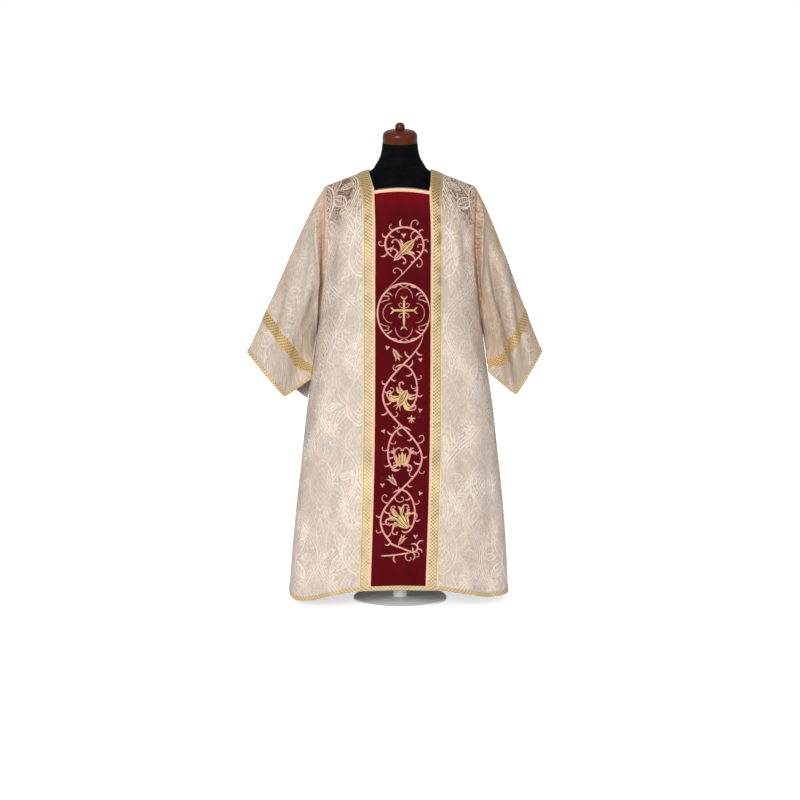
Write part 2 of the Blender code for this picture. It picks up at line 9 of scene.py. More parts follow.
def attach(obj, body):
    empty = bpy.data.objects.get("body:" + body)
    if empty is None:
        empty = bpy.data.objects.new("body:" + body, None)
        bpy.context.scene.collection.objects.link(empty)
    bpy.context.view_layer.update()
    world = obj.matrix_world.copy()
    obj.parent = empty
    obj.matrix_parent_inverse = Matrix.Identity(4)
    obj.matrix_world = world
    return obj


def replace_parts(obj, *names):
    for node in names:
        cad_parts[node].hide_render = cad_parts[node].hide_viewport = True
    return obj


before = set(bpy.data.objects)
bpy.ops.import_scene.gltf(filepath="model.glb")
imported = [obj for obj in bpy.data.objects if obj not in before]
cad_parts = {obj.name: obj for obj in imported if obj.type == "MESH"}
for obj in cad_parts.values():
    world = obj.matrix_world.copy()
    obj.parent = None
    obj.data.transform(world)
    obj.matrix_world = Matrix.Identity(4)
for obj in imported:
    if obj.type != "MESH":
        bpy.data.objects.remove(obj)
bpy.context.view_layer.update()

# ==================================================================== the studio
# A wide pale floor under a white sky, with broad soft lamps. The camera stands in front of the
# garment, a little above its middle, and looks slightly down.
CAMERA_PLACE = Vector((0.0, -5.0, 1.14))
CAMERA_AIM = Vector((0.0, 0.0, 0.60))
CAMERA_LENS = 76.04
FLOOR_HALF = 60.0
FLOOR_COLOUR = (0.80, 0.80, 0.80)
FLOOR_GLOW = 0.62
SKY_LIGHT = 0.48
SKY_SEEN = 1.0

camera_data = bpy.data.cameras.new("camera")
camera_data.lens = CAMERA_LENS
camera_data.sensor_width = 36.0
camera = bpy.data.objects.new("camera", camera_data)
camera.location = CAMERA_PLACE
camera.rotation_euler = (CAMERA_AIM - CAMERA_PLACE).to_track_quat("-Z", "Y").to_euler()
bpy.context.scene.collection.objects.link(camera)
bpy.context.scene.camera = camera
bpy.context.scene.view_settings.view_transform = "Standard"


def table(columns, *rows):
    """Return a table whose rows have named columns."""
    row_kind = namedtuple("Row", columns)
    return tuple(row_kind(*row) for row in rows)


LAMPS = table(
    "name x y z strength softness warmth",
    ("key_lamp", -0.27, -1.0, 0.38, 3.00, 0.45, 0.975),
    ("side_lamp", 1.00, -0.6, 0.45, 0.35, 0.60, 0.990),
    ("back_lamp", 0.30, 1.0, 0.60, 0.45, 0.60, 1.000),
)


def add_lamp(lamp):
    """Hang a broad far lamp that shines towards the garment from one side."""
    light = bpy.data.lights.new(lamp.name, "SUN")
    light.angle = lamp.softness
    light.energy = lamp.strength
    light.color = (1.0, lamp.warmth, lamp.warmth)
    holder = bpy.data.objects.new(lamp.name, light)
    holder.visible_glossy = lamp.name != "back_lamp"
    side = Vector((lamp.x, lamp.y, lamp.z))
    holder.location = side * 4.0
    holder.rotation_euler = side.to_track_quat("Z", "Y").to_euler()
    bpy.context.scene.collection.objects.link(holder)


for lamp in LAMPS:
    add_lamp(lamp)

sky = bpy.data.worlds.new("sky")
bpy.context.scene.world = sky
sky.use_nodes = True
sky_nodes = sky.node_tree.nodes
sky_seen = sky_nodes.new("ShaderNodeLightPath")
sky_fade = sky_nodes.new("ShaderNodeMapRange")
sky_fade.inputs["To Min"].default_value = SKY_LIGHT
sky_fade.inputs["To Max"].default_value = SKY_SEEN
sky.node_tree.links.new(sky_seen.outputs["Is Camera Ray"], sky_fade.inputs["Value"])
sky.node_tree.links.new(sky_fade.outputs["Result"], sky_nodes["Background"].inputs["Strength"])
sky_nodes["Background"].inputs["Color"].default_value = (1.0, 1.0, 1.0, 1.0)


class Field:
    """A value that a material works out at each point, with the sums that a pattern needs."""

    def __init__(self, tree, socket):
        self.tree = tree
        self.socket = socket

    def sum(self, operation, *others):
        node = self.tree.nodes.new("ShaderNodeMath")
        node.operation = operation
        for place, value in enumerate((self, *others)):
            if isinstance(value, Field):
                self.tree.links.new(value.socket, node.inputs[place])
            else:
                node.inputs[place].default_value = value
        return Field(self.tree, node.outputs[0])

    def __add__(self, other):
        return self.sum("ADD", other)

    def __sub__(self, other):
        return self.sum("SUBTRACT", other)

    def __mul__(self, other):
        return self.sum("MULTIPLY", other)

    def __truediv__(self, other):
        return self.sum("DIVIDE", other)

    def power(self, other):
        return self.sum("POWER", other)

    def size(self):
        return self.sum("ABSOLUTE")

    def least(self, other):
        return self.sum("MINIMUM", other)

    def most(self, other):
        return self.sum("MAXIMUM", other)

    def sine(self):
        return self.sum("SINE")

    def cosine(self):
        return self.sum("COSINE")

    def root(self):
        return self.sum("SQRT")

    def angle(self, other):
        return self.sum("ARCTAN2", other)

    def wrapped(self, low, high):
        return self.sum("WRAP", high, low)

    def folded(self, length):
        return self.sum("PINGPONG", length)

    def above(self, limit):
        return self.sum("GREATER_THAN", limit)

    def distance(self, x, y, other):
        return ((self - x) * (self - x) + (other - y) * (other - y)).root()

    def falls(self, full, none):
        """Return 1 up to full and 0 from none on, with a soft step between them."""
        node = self.tree.nodes.new("ShaderNodeMapRange")
        node.interpolation_type = "SMOOTHSTEP"
        self.tree.links.new(self.socket, node.inputs["Value"])
        node.inputs["From Min"].default_value = full
        node.inputs["From Max"].default_value = none
        node.inputs["To Min"].default_value = 1.0
        node.inputs["To Max"].default_value = 0.0
        return Field(self.tree, node.outputs["Result"])

    def rises(self, none, full):
        """Return 0 up to none and 1 from full on."""
        return self.falls(none, full) * -1.0 + 1.0

    def ribs(self, spacing):
        """Return round ribs at a spacing, from 0 to 1."""
        return (self * (2.0 * math.pi / spacing)).sine() * 0.5 + 0.5

    def between(self, low, high):
        """Return the value moved from 0 to 1 into low to high."""
        return self * (high - low) + low


class Finish:
    """A material with its shader, and the ways of reading a place that its patterns need."""

    def __init__(self, name, colour, roughness, **sockets):
        self.material = bpy.data.materials.new(name)
        self.material.use_nodes = True
        self.tree = self.material.node_tree
        self.shader = self.tree.nodes["Principled BSDF"]
        self.shader.inputs["Base Color"].default_value = (*colour, 1.0)
        self.shader.inputs["Roughness"].default_value = roughness
        for socket, value in sockets.items():
            self.shader.inputs[socket.replace("_", " ")].default_value = value

    def node(self, kind, **values):
        node = self.tree.nodes.new(kind)
        for name, value in values.items():
            node.inputs[name.replace("_", " ")].default_value = value
        return node

    def cloth_place(self):
        """Return how far across and how far along the cloth a point lies, in metres."""
        place = self.tree.nodes.new("ShaderNodeUVMap")
        place.uv_map = "cloth"
        parts = self.tree.nodes.new("ShaderNodeSeparateXYZ")
        self.tree.links.new(place.outputs["UV"], parts.inputs[0])
        return Field(self.tree, parts.outputs["X"]), Field(self.tree, parts.outputs["Y"])

    def noise(self, scale, detail=2.0, roughness=0.5, stretch=(1.0, 1.0, 1.0), flat=False):
        """Return a soft random field, in space or, if flat, on the cloth."""
        if flat:
            place = self.tree.nodes.new("ShaderNodeUVMap")
            place.uv_map = "cloth"
            source = place.outputs["UV"]
        else:
            source = self.tree.nodes.new("ShaderNodeTexCoord").outputs["Object"]
        mapping = self.node("ShaderNodeMapping", Scale=stretch)
        noise = self.node("ShaderNodeTexNoise", Scale=scale, Detail=detail, Roughness=roughness)
        self.tree.links.new(source, mapping.inputs["Vector"])
        self.tree.links.new(mapping.outputs["Vector"], noise.inputs["Vector"])
        return Field(self.tree, noise.outputs["Fac"])

    def ramp(self, field, *stops):
        """Return the colour that a field picks from stops of (place, red, green, blue)."""
        ramp = self.tree.nodes.new("ShaderNodeValToRGB")
        elements = ramp.color_ramp.elements
        while len(elements) < len(stops):
            elements.new(1.0)
        for element, (place, *colour) in zip(elements, stops):
            element.position = place
            element.color = (*colour, 1.0)
        self.tree.links.new(field.socket, ramp.inputs["Fac"])
        return ramp.outputs["Color"]

    def mixed(self, share, first, second):
        """Return two colours mixed by a field. Each is a colour socket or three numbers."""
        mix = self.tree.nodes.new("ShaderNodeMix")
        mix.data_type = "RGBA"
        self.tree.links.new(share.socket, mix.inputs["Factor"])
        for socket, colour in ((mix.inputs[6], first), (mix.inputs[7], second)):
            if isinstance(colour, tuple):
                socket.default_value = (*colour, 1.0)
            else:
                self.tree.links.new(colour, socket)
        return mix.outputs[2]

    def colour_from(self, socket):
        self.tree.links.new(socket, self.shader.inputs["Base Color"])

    def roughness_from(self, field):
        self.tree.links.new(field.socket, self.shader.inputs["Roughness"])

    def raised_by(self, field, height):
        """Let a field stand up from the surface by a height in metres."""
        bump = self.node("ShaderNodeBump", Strength=1.0, Distance=height)
        self.tree.links.new(field.socket, bump.inputs["Height"])
        if self.shader.inputs["Normal"].is_linked:
            before = self.shader.inputs["Normal"].links[0].from_socket
            self.tree.links.new(before, bump.inputs["Normal"])
        self.tree.links.new(bump.outputs["Normal"], self.shader.inputs["Normal"])


floor_finish = Finish("floor_paint", FLOOR_COLOUR, 0.9, Emission_Color=(1.0, 1.0, 1.0, 1.0))
floor_seen = floor_finish.tree.nodes.new("ShaderNodeLightPath").outputs["Is Camera Ray"]
floor_glow = Field(floor_finish.tree, floor_seen) * FLOOR_GLOW
floor_finish.tree.links.new(
    floor_glow.socket, floor_finish.shader.inputs["Emission Strength"]
)
floor_finish.colour_from(floor_finish.ramp(
    floor_finish.noise(0.7), (0.3, 0.79, 0.79, 0.79), (0.7, 0.81, 0.81, 0.81)
))
floor_mesh = bpy.data.meshes.new("floor")
floor_mesh.from_pydata(
    [(x * FLOOR_HALF, y * FLOOR_HALF, 0.0) for x, y in ((-1, -1), (1, -1), (1, 1), (-1, 1))],
    [], [(0, 1, 2, 3)],
)
floor_mesh.materials.append(floor_finish.material)
floor = bpy.data.objects.new("floor", floor_mesh)
bpy.context.scene.collection.objects.link(floor)


# ==================================================================== the stand
# A round steel base with a short socket, and a steel pole that stands in it and carries the form.
# Both are powder coated in white. The skirt hides the pole and most of the base.
BASE_RADIUS = 0.140
BASE_THICKNESS = 0.007
SOCKET_RADIUS = 0.0215
SOCKET_HEIGHT = 0.030
POLE_RADIUS = 0.015
POLE_TOP = 0.5597
TURNED_SIDES = 96


def smoothed(piece, angle=40.0):
    """Shade a piece smooth except where its faces meet at more than an angle."""
    piece.data.shade_smooth()
    piece.data.set_sharp_from_angle(angle=math.radians(angle))
    return piece


def mesh_piece(name, points, faces, material, uvs=None):
    """Make one piece that rides with the part, with a place on the cloth for every point."""
    mesh = bpy.data.meshes.new(name)
    mesh.from_pydata(np.asarray(points, dtype=float).tolist(), [], faces)
    if uvs is not None:
        layer = mesh.uv_layers.new(name="cloth")
        corners = np.empty(len(mesh.loops), dtype=int)
        mesh.loops.foreach_get("vertex_index", corners)
        layer.data.foreach_set("uv", np.asarray(uvs, dtype=np.float32)[corners].ravel())
    mesh.materials.append(material)
    piece = bpy.data.objects.new(name, mesh)
    bpy.context.scene.collection.objects.link(piece)
    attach(piece, "root")
    return piece


def turned(name, steps, material, place=Matrix.Identity(4)):
    """Turn a profile of radii and heights round its own upright axis."""
    points = []
    faces = []
    for radius, height in steps:
        for side in range(TURNED_SIDES):
            angle = 2.0 * math.pi * side / TURNED_SIDES
            out = Vector((radius * math.cos(angle), radius * math.sin(angle), height))
            points.append(place @ out)
    for level in range(len(steps) - 1):
        low = level * TURNED_SIDES
        for side in range(TURNED_SIDES):
            following = (side + 1) % TURNED_SIDES
            faces.append((low + side, low + following,
                          low + TURNED_SIDES + following, low + TURNED_SIDES + side))
    faces.append(tuple(reversed(range(TURNED_SIDES))))
    faces.append(tuple(range(len(points) - TURNED_SIDES, len(points))))
    return smoothed(mesh_piece(name, points, faces, material), 35.0)


steel = Finish("white_powder_coat", (0.94, 0.94, 0.93), 0.60)
steel.raised_by(steel.noise(900.0, detail=3.0), 0.0003)
steel.colour_from(steel.ramp(
    steel.noise(6.0, detail=4.0), (0.35, 0.93, 0.93, 0.92), (0.65, 0.97, 0.97, 0.96)
))
base = turned("base_plate", (
    (BASE_RADIUS - 0.0015, 0.0),
    (BASE_RADIUS, 0.0012),
    (BASE_RADIUS, 0.0050),
    (BASE_RADIUS - 0.0012, 0.0066),
    (BASE_RADIUS - 0.0035, BASE_THICKNESS),
    (SOCKET_RADIUS + 0.0035, BASE_THICKNESS),
    (SOCKET_RADIUS + 0.0010, BASE_THICKNESS + 0.0010),
    (SOCKET_RADIUS, BASE_THICKNESS + 0.0035),
    (SOCKET_RADIUS, SOCKET_HEIGHT - 0.0015),
    (SOCKET_RADIUS - 0.0015, SOCKET_HEIGHT),
), steel.material)
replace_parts(base, "stand_base")
pole = turned("pole", (
    (POLE_RADIUS - 0.001, SOCKET_HEIGHT + 0.0003),
    (POLE_RADIUS, SOCKET_HEIGHT + 0.0015),
    (POLE_RADIUS, POLE_TOP),
), steel.material)
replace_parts(pole, "stand_pole")


# ==================================================================== the dress form
# A padded torso without limbs, covered in stretched black jersey that is joined by a seam down
# each side. A turned, lacquered cap closes the leaning neck, and a small knob is screwed to it.
FORM_LEVELS = table(
    "height half_width front back back_shift tilt power",
    (0.560, 0.166, 0.104, 0.108, 0.000, 0.0, 2.2),
    (0.575, 0.172, 0.109, 0.113, 0.000, 0.0, 2.2),
    (0.640, 0.174, 0.110, 0.116, 0.000, 0.0, 2.2),
    (0.720, 0.160, 0.104, 0.102, 0.000, 0.0, 2.2),
    (0.800, 0.143, 0.101, 0.086, 0.000, 0.0, 2.2),
    (0.880, 0.150, 0.112, 0.087, 0.000, 0.0, 2.2),
    (0.960, 0.168, 0.127, 0.096, 0.000, 0.0, 2.2),
    (1.040, 0.180, 0.125, 0.102, 0.000, 0.0, 2.2),
    (1.110, 0.189, 0.108, 0.100, 0.000, 0.0, 2.2),
    (1.170, 0.195, 0.086, 0.086, 0.000, 0.0, 2.1),
    (1.208, 0.196, 0.064, 0.066, 0.000, 0.0, 1.9),
    (1.237, 0.188, 0.052, 0.052, 0.000, 0.0, 1.6),
    (1.245, 0.169, 0.050, 0.050, 0.000, 0.0, 1.6),
    (1.254, 0.146, 0.049, 0.049, 0.000, 0.0, 1.6),
    (1.263, 0.122, 0.050, 0.050, 0.000, 0.0, 1.6),
    (1.271, 0.102, 0.051, 0.051, 0.000, 0.0, 1.7),
    (1.277, 0.087, 0.052, 0.052, 0.000, 0.0, 1.9),
    (1.284, 0.078, 0.053, 0.053, 0.000, 2.0, 2.1),
    (1.295, 0.071, 0.053, 0.053, -0.001, 4.0, 2.1),
    (1.309, 0.0625, 0.053, 0.053, -0.002, 6.0, 2.1),
    (1.324, 0.0565, 0.0525, 0.0525, -0.004, 8.0, 2.1),
    (1.341, 0.0530, 0.0515, 0.0515, -0.006, 10.0, 2.1),
    (1.3560, 0.0515, 0.0510, 0.0510, -0.009, 12.0, 2.1),
    (1.3570, 0.0500, 0.0495, 0.0495, -0.009, 12.0, 2.1),
)
FORM_SIDES = 112
FORM_STEPS_BETWEEN = 4


def read_table(places, values, at):
    """Read a table of values on a smooth curve that never swings past its rows."""
    places = np.asarray(places, dtype=float)
    values = np.asarray(values, dtype=float)
    if places[0] > places[-1]:
        places, values = places[::-1], values[::-1]
    steps = np.diff(places)
    slopes = np.diff(values) / steps
    tangents = np.zeros(len(places))
    tangents[0], tangents[-1] = slopes[0], slopes[-1]
    for row in range(1, len(places) - 1):
        if slopes[row - 1] * slopes[row] > 0.0:
            low = 2.0 * steps[row] + steps[row - 1]
            high = steps[row] + 2.0 * steps[row - 1]
            tangents[row] = (low + high) / (low / slopes[row - 1] + high / slopes[row])
    at = np.clip(at, places[0], places[-1])
    row = np.clip(np.searchsorted(places, at, side="right") - 1, 0, len(steps) - 1)
    t = (at - places[row]) / steps[row]
    return (
        values[row] * (1 + 2 * t) * (1 - t) ** 2
        + values[row + 1] * t * t * (3 - 2 * t)
        + steps[row] * (tangents[row] * t * (1 - t) ** 2 - tangents[row + 1] * t * t * (1 - t))
    )


def column_of(rows, name):
    """Return one named column of a table."""
    return [getattr(row, name) for row in rows]


def grid_faces(rows, columns, closed=False, missing=None):
    """Return the cells of a grid of points, without the ones that missing() names."""
    last = columns if closed else columns - 1
    return [
        (row * columns + column, (row + 1) * columns + column,
         (row + 1) * columns + (column + 1) % columns, row * columns + (column + 1) % columns)
        for row in range(rows - 1)
        for column in range(last)
        if missing is None or not missing(row, column)
    ]


def form_points():
    """Return the torso's rings, from the hips up to the top of the neck."""
    count = len(FORM_LEVELS)
    at = np.linspace(0, count - 1, (count - 1) * FORM_STEPS_BETWEEN + 1)
    level = FORM_LEVELS[0]._make(
        read_table(range(count), column_of(FORM_LEVELS, name), at) for name in FORM_LEVELS[0]._fields
    )
    angles = np.linspace(0.0, 2.0 * math.pi, FORM_SIDES, endpoint=False)
    cosine, sine = np.cos(angles), np.sin(angles)
    power = 2.0 / level.power[:, None]
    out = np.sign(cosine) * np.abs(cosine) ** power
    along = np.sign(sine) * np.abs(sine) ** power
    depth = np.where(along > 0.0, level.back[:, None], level.front[:, None]) * along
    height = level.height[:, None] + depth * np.tan(np.radians(level.tilt))[:, None]
    return np.stack([
        level.half_width[:, None] * out, depth + level.back_shift[:, None], height
    ], axis=2)


jersey = Finish("black_jersey", (0.003, 0.003, 0.0035), 0.9, Sheen_Weight=0.01,
                Sheen_Roughness=0.5, Specular_IOR_Level=0.03)
jersey.raised_by(jersey.noise(1300.0, detail=2.0, stretch=(1.0, 1.0, 0.35)), 0.0004)
jersey.colour_from(jersey.ramp(
    jersey.noise(35.0, detail=5.0), (0.3, 0.0015, 0.0015, 0.002), (0.7, 0.0045, 0.0045, 0.0055)
))
rings = form_points()
torso_faces = grid_faces(len(rings), FORM_SIDES, closed=True)
torso_faces.append(tuple(range(FORM_SIDES)))
torso_faces.append(tuple(reversed(range((len(rings) - 1) * FORM_SIDES, len(rings) * FORM_SIDES))))
torso_faces = [tuple(reversed(face)) for face in torso_faces]
torso = mesh_piece("torso", rings.reshape(-1, 3), torso_faces, jersey.material)
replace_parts(smoothed(torso), "form_torso")

wood = Finish("turned_wood", (0.17, 0.05, 0.02), 0.30, Coat_Weight=0.10, Coat_Roughness=0.16,
              Specular_IOR_Level=0.12)
grain = wood.noise(14.0, detail=6.0, roughness=0.65, stretch=(1.0, 1.0, 0.22))
wood.colour_from(wood.ramp(
    grain, (0.25, 0.024, 0.004, 0.002), (0.50, 0.080, 0.015, 0.004), (0.75, 0.200, 0.055, 0.018)
))
wood.raised_by(grain, 0.0002)
top = FORM_LEVELS[-1]
on_neck = Matrix.Translation((0.0, top.back_shift, top.height))
on_neck = on_neck @ Matrix.Rotation(math.radians(top.tilt), 4, "X")
cap = turned("cap", (
    (0.0484, 0.0003),
    (0.0500, 0.0012),
    (0.0508, 0.0032),
    (0.0509, 0.0065),
    (0.0501, 0.0088),
    (0.0504, 0.0105),
    (0.0507, 0.0150),
    (0.0504, 0.0200),
    (0.0495, 0.0243),
    (0.0479, 0.0280),
    (0.0450, 0.0315),
    (0.0400, 0.0346),
    (0.0330, 0.0364),
    (0.0240, 0.0376),
    (0.0150, 0.0381),
), wood.material, on_neck)
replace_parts(cap, "form_cap")
knob = turned("knob", (
    (0.0122, 0.0386),
    (0.0134, 0.0394),
    (0.0141, 0.0415),
    (0.0143, 0.0445),
    (0.0141, 0.0474),
    (0.0134, 0.0504),
    (0.0122, 0.0531),
    (0.0104, 0.0556),
    (0.0080, 0.0575),
    (0.0052, 0.0587),
    (0.0022, 0.0591),
), wood.material, on_neck)
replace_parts(knob, "form_knob")


# ==================================================================== the front and back panels
# Two pieces of cream silk damask, joined at the shoulders and down the sides. The front is cut
# with a wide square neck. They hang from the form's shoulders and flare towards the hem.
NECK_HALF = 0.091
NECK_HEIGHT = 1.2800
SHOULDER_HALF = 0.216
SHOULDER_HEIGHT = 1.2325
SHOULDER_ROUNDING = 0.070
NECK_DROP_FRONT = 0.062
NECK_DROP_BACK = 0.024
NECK_BOW = 0.008
NECK_BOW_REACH = 0.035
ARMHOLE_DEPTH = 0.420
ORPHREY_HALF = 0.0795
GALLOON_WIDTH = 0.0355
BROCADE = 0.0012
SEAM_GAP = 0.0003

# Rows and columns are counted as the cut is marked: the armhole ends on one row, and the
# orphrey, the galloon and the side seam each end on a column. FINE steps lie between two.
ARMHOLE_ROWS = 11
SKIRT_ROWS = 12
NECK_ROW_FRONT = 4
NECK_ROW_BACK = 3
LAST_ROW = ARMHOLE_ROWS + SKIRT_ROWS
ORPHREY_COLUMN = 2
GALLOON_COLUMN = 3
SIDE_COLUMNS = 8
EDGE_COLUMN = GALLOON_COLUMN + SIDE_COLUMNS
FINE = 8

BODY = table(
    "height half_width front back edge_front edge_back side_round",
    (1.2800, 0.216, 0.088, 0.090, 0.000, 0.000, 0.0),
    (1.2200, 0.216, 0.097, 0.101, 0.030, 0.028, 0.0),
    (1.1500, 0.212, 0.120, 0.115, 0.055, 0.050, 0.0),
    (1.0500, 0.210, 0.142, 0.124, 0.066, 0.060, 0.0),
    (0.9500, 0.221, 0.152, 0.126, 0.058, 0.052, 0.0),
    (0.8800, 0.233, 0.155, 0.128, 0.036, 0.032, 0.2),
    (0.8130, 0.243, 0.157, 0.131, 0.000, 0.000, 0.6),
    (0.7400, 0.252, 0.160, 0.135, 0.000, 0.000, 1.0),
    (0.5800, 0.276, 0.168, 0.144, 0.000, 0.000, 1.0),
    (0.4560, 0.290, 0.174, 0.151, 0.000, 0.000, 1.0),
    (0.2745, 0.310, 0.182, 0.163, 0.000, 0.000, 1.0),
    (0.1280, 0.322, 0.188, 0.172, 0.000, 0.000, 1.0),
    (0.0100, 0.329, 0.192, 0.178, 0.000, 0.000, 1.0),
)
SECTION_POWER = 2.5
HEM = table(
    "across front_left front_right back",
    (0.00, 0.0670, 0.0670, 0.0520),
    (0.35, 0.0610, 0.0635, 0.0480),
    (0.60, 0.0430, 0.0490, 0.0370),
    (0.88, 0.0190, 0.0310, 0.0230),
    (1.00, 0.0360, 0.0360, 0.0360),
)
LEAN = table(
    "height shift",
    (1.2165, 0.0060),
    (1.0900, 0.0105),
    (0.9500, 0.0098),
    (0.6200, 0.0085),
    (0.1000, -0.0015),
)
LEAN_STARTS_BELOW = 0.055
SKIRT_SWING = 0.0055
SKIRT_SWING_TOP = 0.450
FOLD_COLUMNS = "column width depth top"
FRONT_FOLDS = table(
    FOLD_COLUMNS,
    (-8.4, 2.2, 0.010, 0.66),
    (-6.3, 1.9, -0.007, 0.58),
    (-4.6, 1.6, 0.005, 0.50),
    (4.9, 1.8, 0.006, 0.52),
    (6.9, 1.9, -0.008, 0.60),
    (8.9, 1.9, 0.009, 0.70),
)
BACK_FOLDS = table(
    FOLD_COLUMNS,
    (-8.6, 2.0, 0.010, 0.72),
    (-6.4, 2.0, -0.009, 0.64),
    (-4.2, 1.8, 0.008, 0.60),
    (4.4, 1.9, 0.007, 0.56),
    (6.5, 2.0, -0.009, 0.66),
    (8.5, 2.1, 0.009, 0.70),
)

# Soft creases: a ridge (or a trough, below zero) from a top place to a low one, as seen from
# in front of the panel, with its half width and how far it stands out.
CREASE_COLUMNS = "top_x top_z low_x low_z width rise"
FRONT_CREASES = table(
    CREASE_COLUMNS,
    (-0.150, 1.235, -0.185, 0.900, 0.016, 0.0030),
    (-0.185, 1.215, -0.205, 0.950, 0.012, -0.0035),
    (-0.128, 1.180, -0.150, 0.800, 0.018, -0.0028),
    (0.145, 1.240, 0.176, 0.930, 0.016, 0.0030),
    (0.178, 1.215, 0.196, 0.930, 0.011, -0.0035),
    (0.128, 1.170, 0.142, 0.720, 0.018, -0.0028),
    (-0.215, 0.820, -0.236, 0.420, 0.022, 0.0040),
    (-0.180, 0.780, -0.190, 0.300, 0.024, -0.0036),
    (0.212, 0.840, 0.228, 0.400, 0.020, 0.0038),
    (0.176, 0.760, 0.196, 0.250, 0.025, -0.0038),
    (-0.150, 0.640, -0.165, 0.100, 0.026, 0.0032),
    (0.150, 0.600, 0.160, 0.100, 0.024, 0.0030),
    (-0.262, 0.420, -0.280, 0.080, 0.018, -0.0045),
    (-0.205, 0.360, -0.214, 0.060, 0.024, -0.0058),
    (0.258, 0.470, 0.276, 0.090, 0.018, -0.0045),
)
BACK_CREASES = table(
    CREASE_COLUMNS,
    (-0.160, 1.230, -0.190, 0.880, 0.017, 0.0034),
    (-0.120, 1.190, -0.135, 0.760, 0.020, -0.0032),
    (0.155, 1.235, 0.184, 0.900, 0.016, 0.0032),
    (0.124, 1.180, 0.140, 0.700, 0.019, -0.0030),
    (-0.212, 0.820, -0.232, 0.360, 0.022, 0.0042),
    (-0.175, 0.740, -0.190, 0.240, 0.024, -0.0040),
    (0.208, 0.820, 0.226, 0.420, 0.021, 0.0040),
    (0.170, 0.740, 0.188, 0.260, 0.025, -0.0036),
    (-0.145, 0.580, -0.160, 0.100, 0.026, 0.0034),
    (0.146, 0.560, 0.152, 0.110, 0.024, 0.0030),
    (-0.256, 0.450, -0.276, 0.090, 0.018, -0.0046),
    (0.254, 0.430, 0.272, 0.080, 0.018, -0.0044),
)


def column_out(columns, drops, half_width, neck_drop):
    """Return how far out each column lies at each drop below the shoulder line."""
    count = np.abs(columns)
    slant = np.maximum(0.0, 1.0 - drops / neck_drop)
    orphrey_edge = ORPHREY_HALF + (NECK_HALF - ORPHREY_HALF) * slant
    galloon_edge = orphrey_edge + GALLOON_WIDTH
    side = np.sin(0.5 * math.pi * np.clip((count - GALLOON_COLUMN) / SIDE_COLUMNS, 0.0, 1.0))
    on_orphrey = orphrey_edge * count / ORPHREY_COLUMN
    on_galloon = orphrey_edge + GALLOON_WIDTH * (count - ORPHREY_COLUMN)
    on_side = galloon_edge + (half_width - galloon_edge) * side
    return np.where(
        count <= ORPHREY_COLUMN, on_orphrey, np.where(count <= GALLOON_COLUMN, on_galloon, on_side)
    )


def normals_of(points, closed=False):
    """Return the outward direction at each point of a grid."""
    down = np.gradient(points, axis=0)
    if closed:
        across = (np.roll(points, -1, axis=1) - np.roll(points, 1, axis=1)) / 2.0
    else:
        across = np.gradient(points, axis=1)
    return unit(np.cross(down, across))


def unit(directions):
    """Return directions with a length of one."""
    return directions / np.linalg.norm(directions, axis=-1, keepdims=True)


def crease_rise(creases, across, height):
    """Return how far the creases move each point of the cloth."""
    rise = np.zeros_like(across)
    for crease in creases:
        run = np.array((crease.low_x - crease.top_x, crease.low_z - crease.top_z))
        length = np.linalg.norm(run)
        way = run / length
        along = ((across - crease.top_x) * way[0] + (height - crease.top_z) * way[1]) / length
        aside = (across - crease.top_x) * way[1] - (height - crease.top_z) * way[0]
        ends = np.sin(math.pi * np.clip(along, 0.0, 1.0)) ** 0.8
        rise += crease.rise * np.exp(-(aside / crease.width) ** 2) * ends
    return rise


def hanging_points(columns, drops, back):
    """Return the outer face of a panel where these columns and drops cross."""
    column, drop = np.meshgrid(columns, drops)
    neck_drop = NECK_DROP_BACK if back else NECK_DROP_FRONT
    top_out = column_out(column, 0.0, SHOULDER_HALF, neck_drop)
    slope = (NECK_HEIGHT - SHOULDER_HEIGHT) / (SHOULDER_HALF - NECK_HALF)
    top = NECK_HEIGHT - slope * np.maximum(0.0, top_out - NECK_HALF)
    hem_half = BODY[-1].half_width
    across = column_out(column, neck_drop, hem_half, neck_drop) / hem_half
    places = column_of(HEM, "across")
    if back:
        hem = read_table(places, column_of(HEM, "back"), across)
    else:
        left = read_table(places, column_of(HEM, "front_left"), across)
        right = read_table(places, column_of(HEM, "front_right"), across)
        hem = np.where(column < 0.0, left, right)
    height = top + (hem - top) * drop / drops[-1]

    def body(name):
        return read_table(column_of(BODY, "height"), column_of(BODY, name), height)

    half_width = body("half_width")
    edge = body("edge_back" if back else "edge_front")
    out = column_out(column, drop, half_width, neck_drop)
    share = np.minimum(out / half_width, 1.0)
    root = 1.0 + (SECTION_POWER - 1.0) * body("side_round")
    depth = body("back" if back else "front")
    section = edge + (depth - edge) * (1.0 - share ** SECTION_POWER) ** (1.0 / root)
    rounding = np.clip(1.0 - drop / SHOULDER_ROUNDING, 0.0, 1.0)
    section *= np.sqrt(1.0 - rounding ** 2)

    fold_out = np.zeros_like(height)
    for fold in BACK_FOLDS if back else FRONT_FOLDS:
        reach = np.clip((column - fold.column) / fold.width, -1.0, 1.0)
        growth = np.maximum(0.0, (fold.top - height) / fold.top)
        fold_out += fold.depth * np.cos(0.5 * math.pi * reach) ** 2 * growth ** 1.5
    swell = 1.0 + fold_out / np.maximum(np.hypot(out, section), ORPHREY_HALF)

    middle = -SKIRT_SWING * np.maximum(0.0, 1.0 - height / SKIRT_SWING_TOP) ** 2
    if not back:
        start = np.minimum(drop / LEAN_STARTS_BELOW, 1.0)
        shift = read_table(column_of(LEAN, "height"), column_of(LEAN, "shift"), height)
        middle += shift * start * start * (3.0 - 2.0 * start) * (1.0 - share ** 2)
    facing = 1.0 if back else -1.0
    return np.stack([
        np.sign(column) * out * swell + middle,
        facing * (section * swell + 0.5 * SEAM_GAP),
        height,
    ], axis=2)


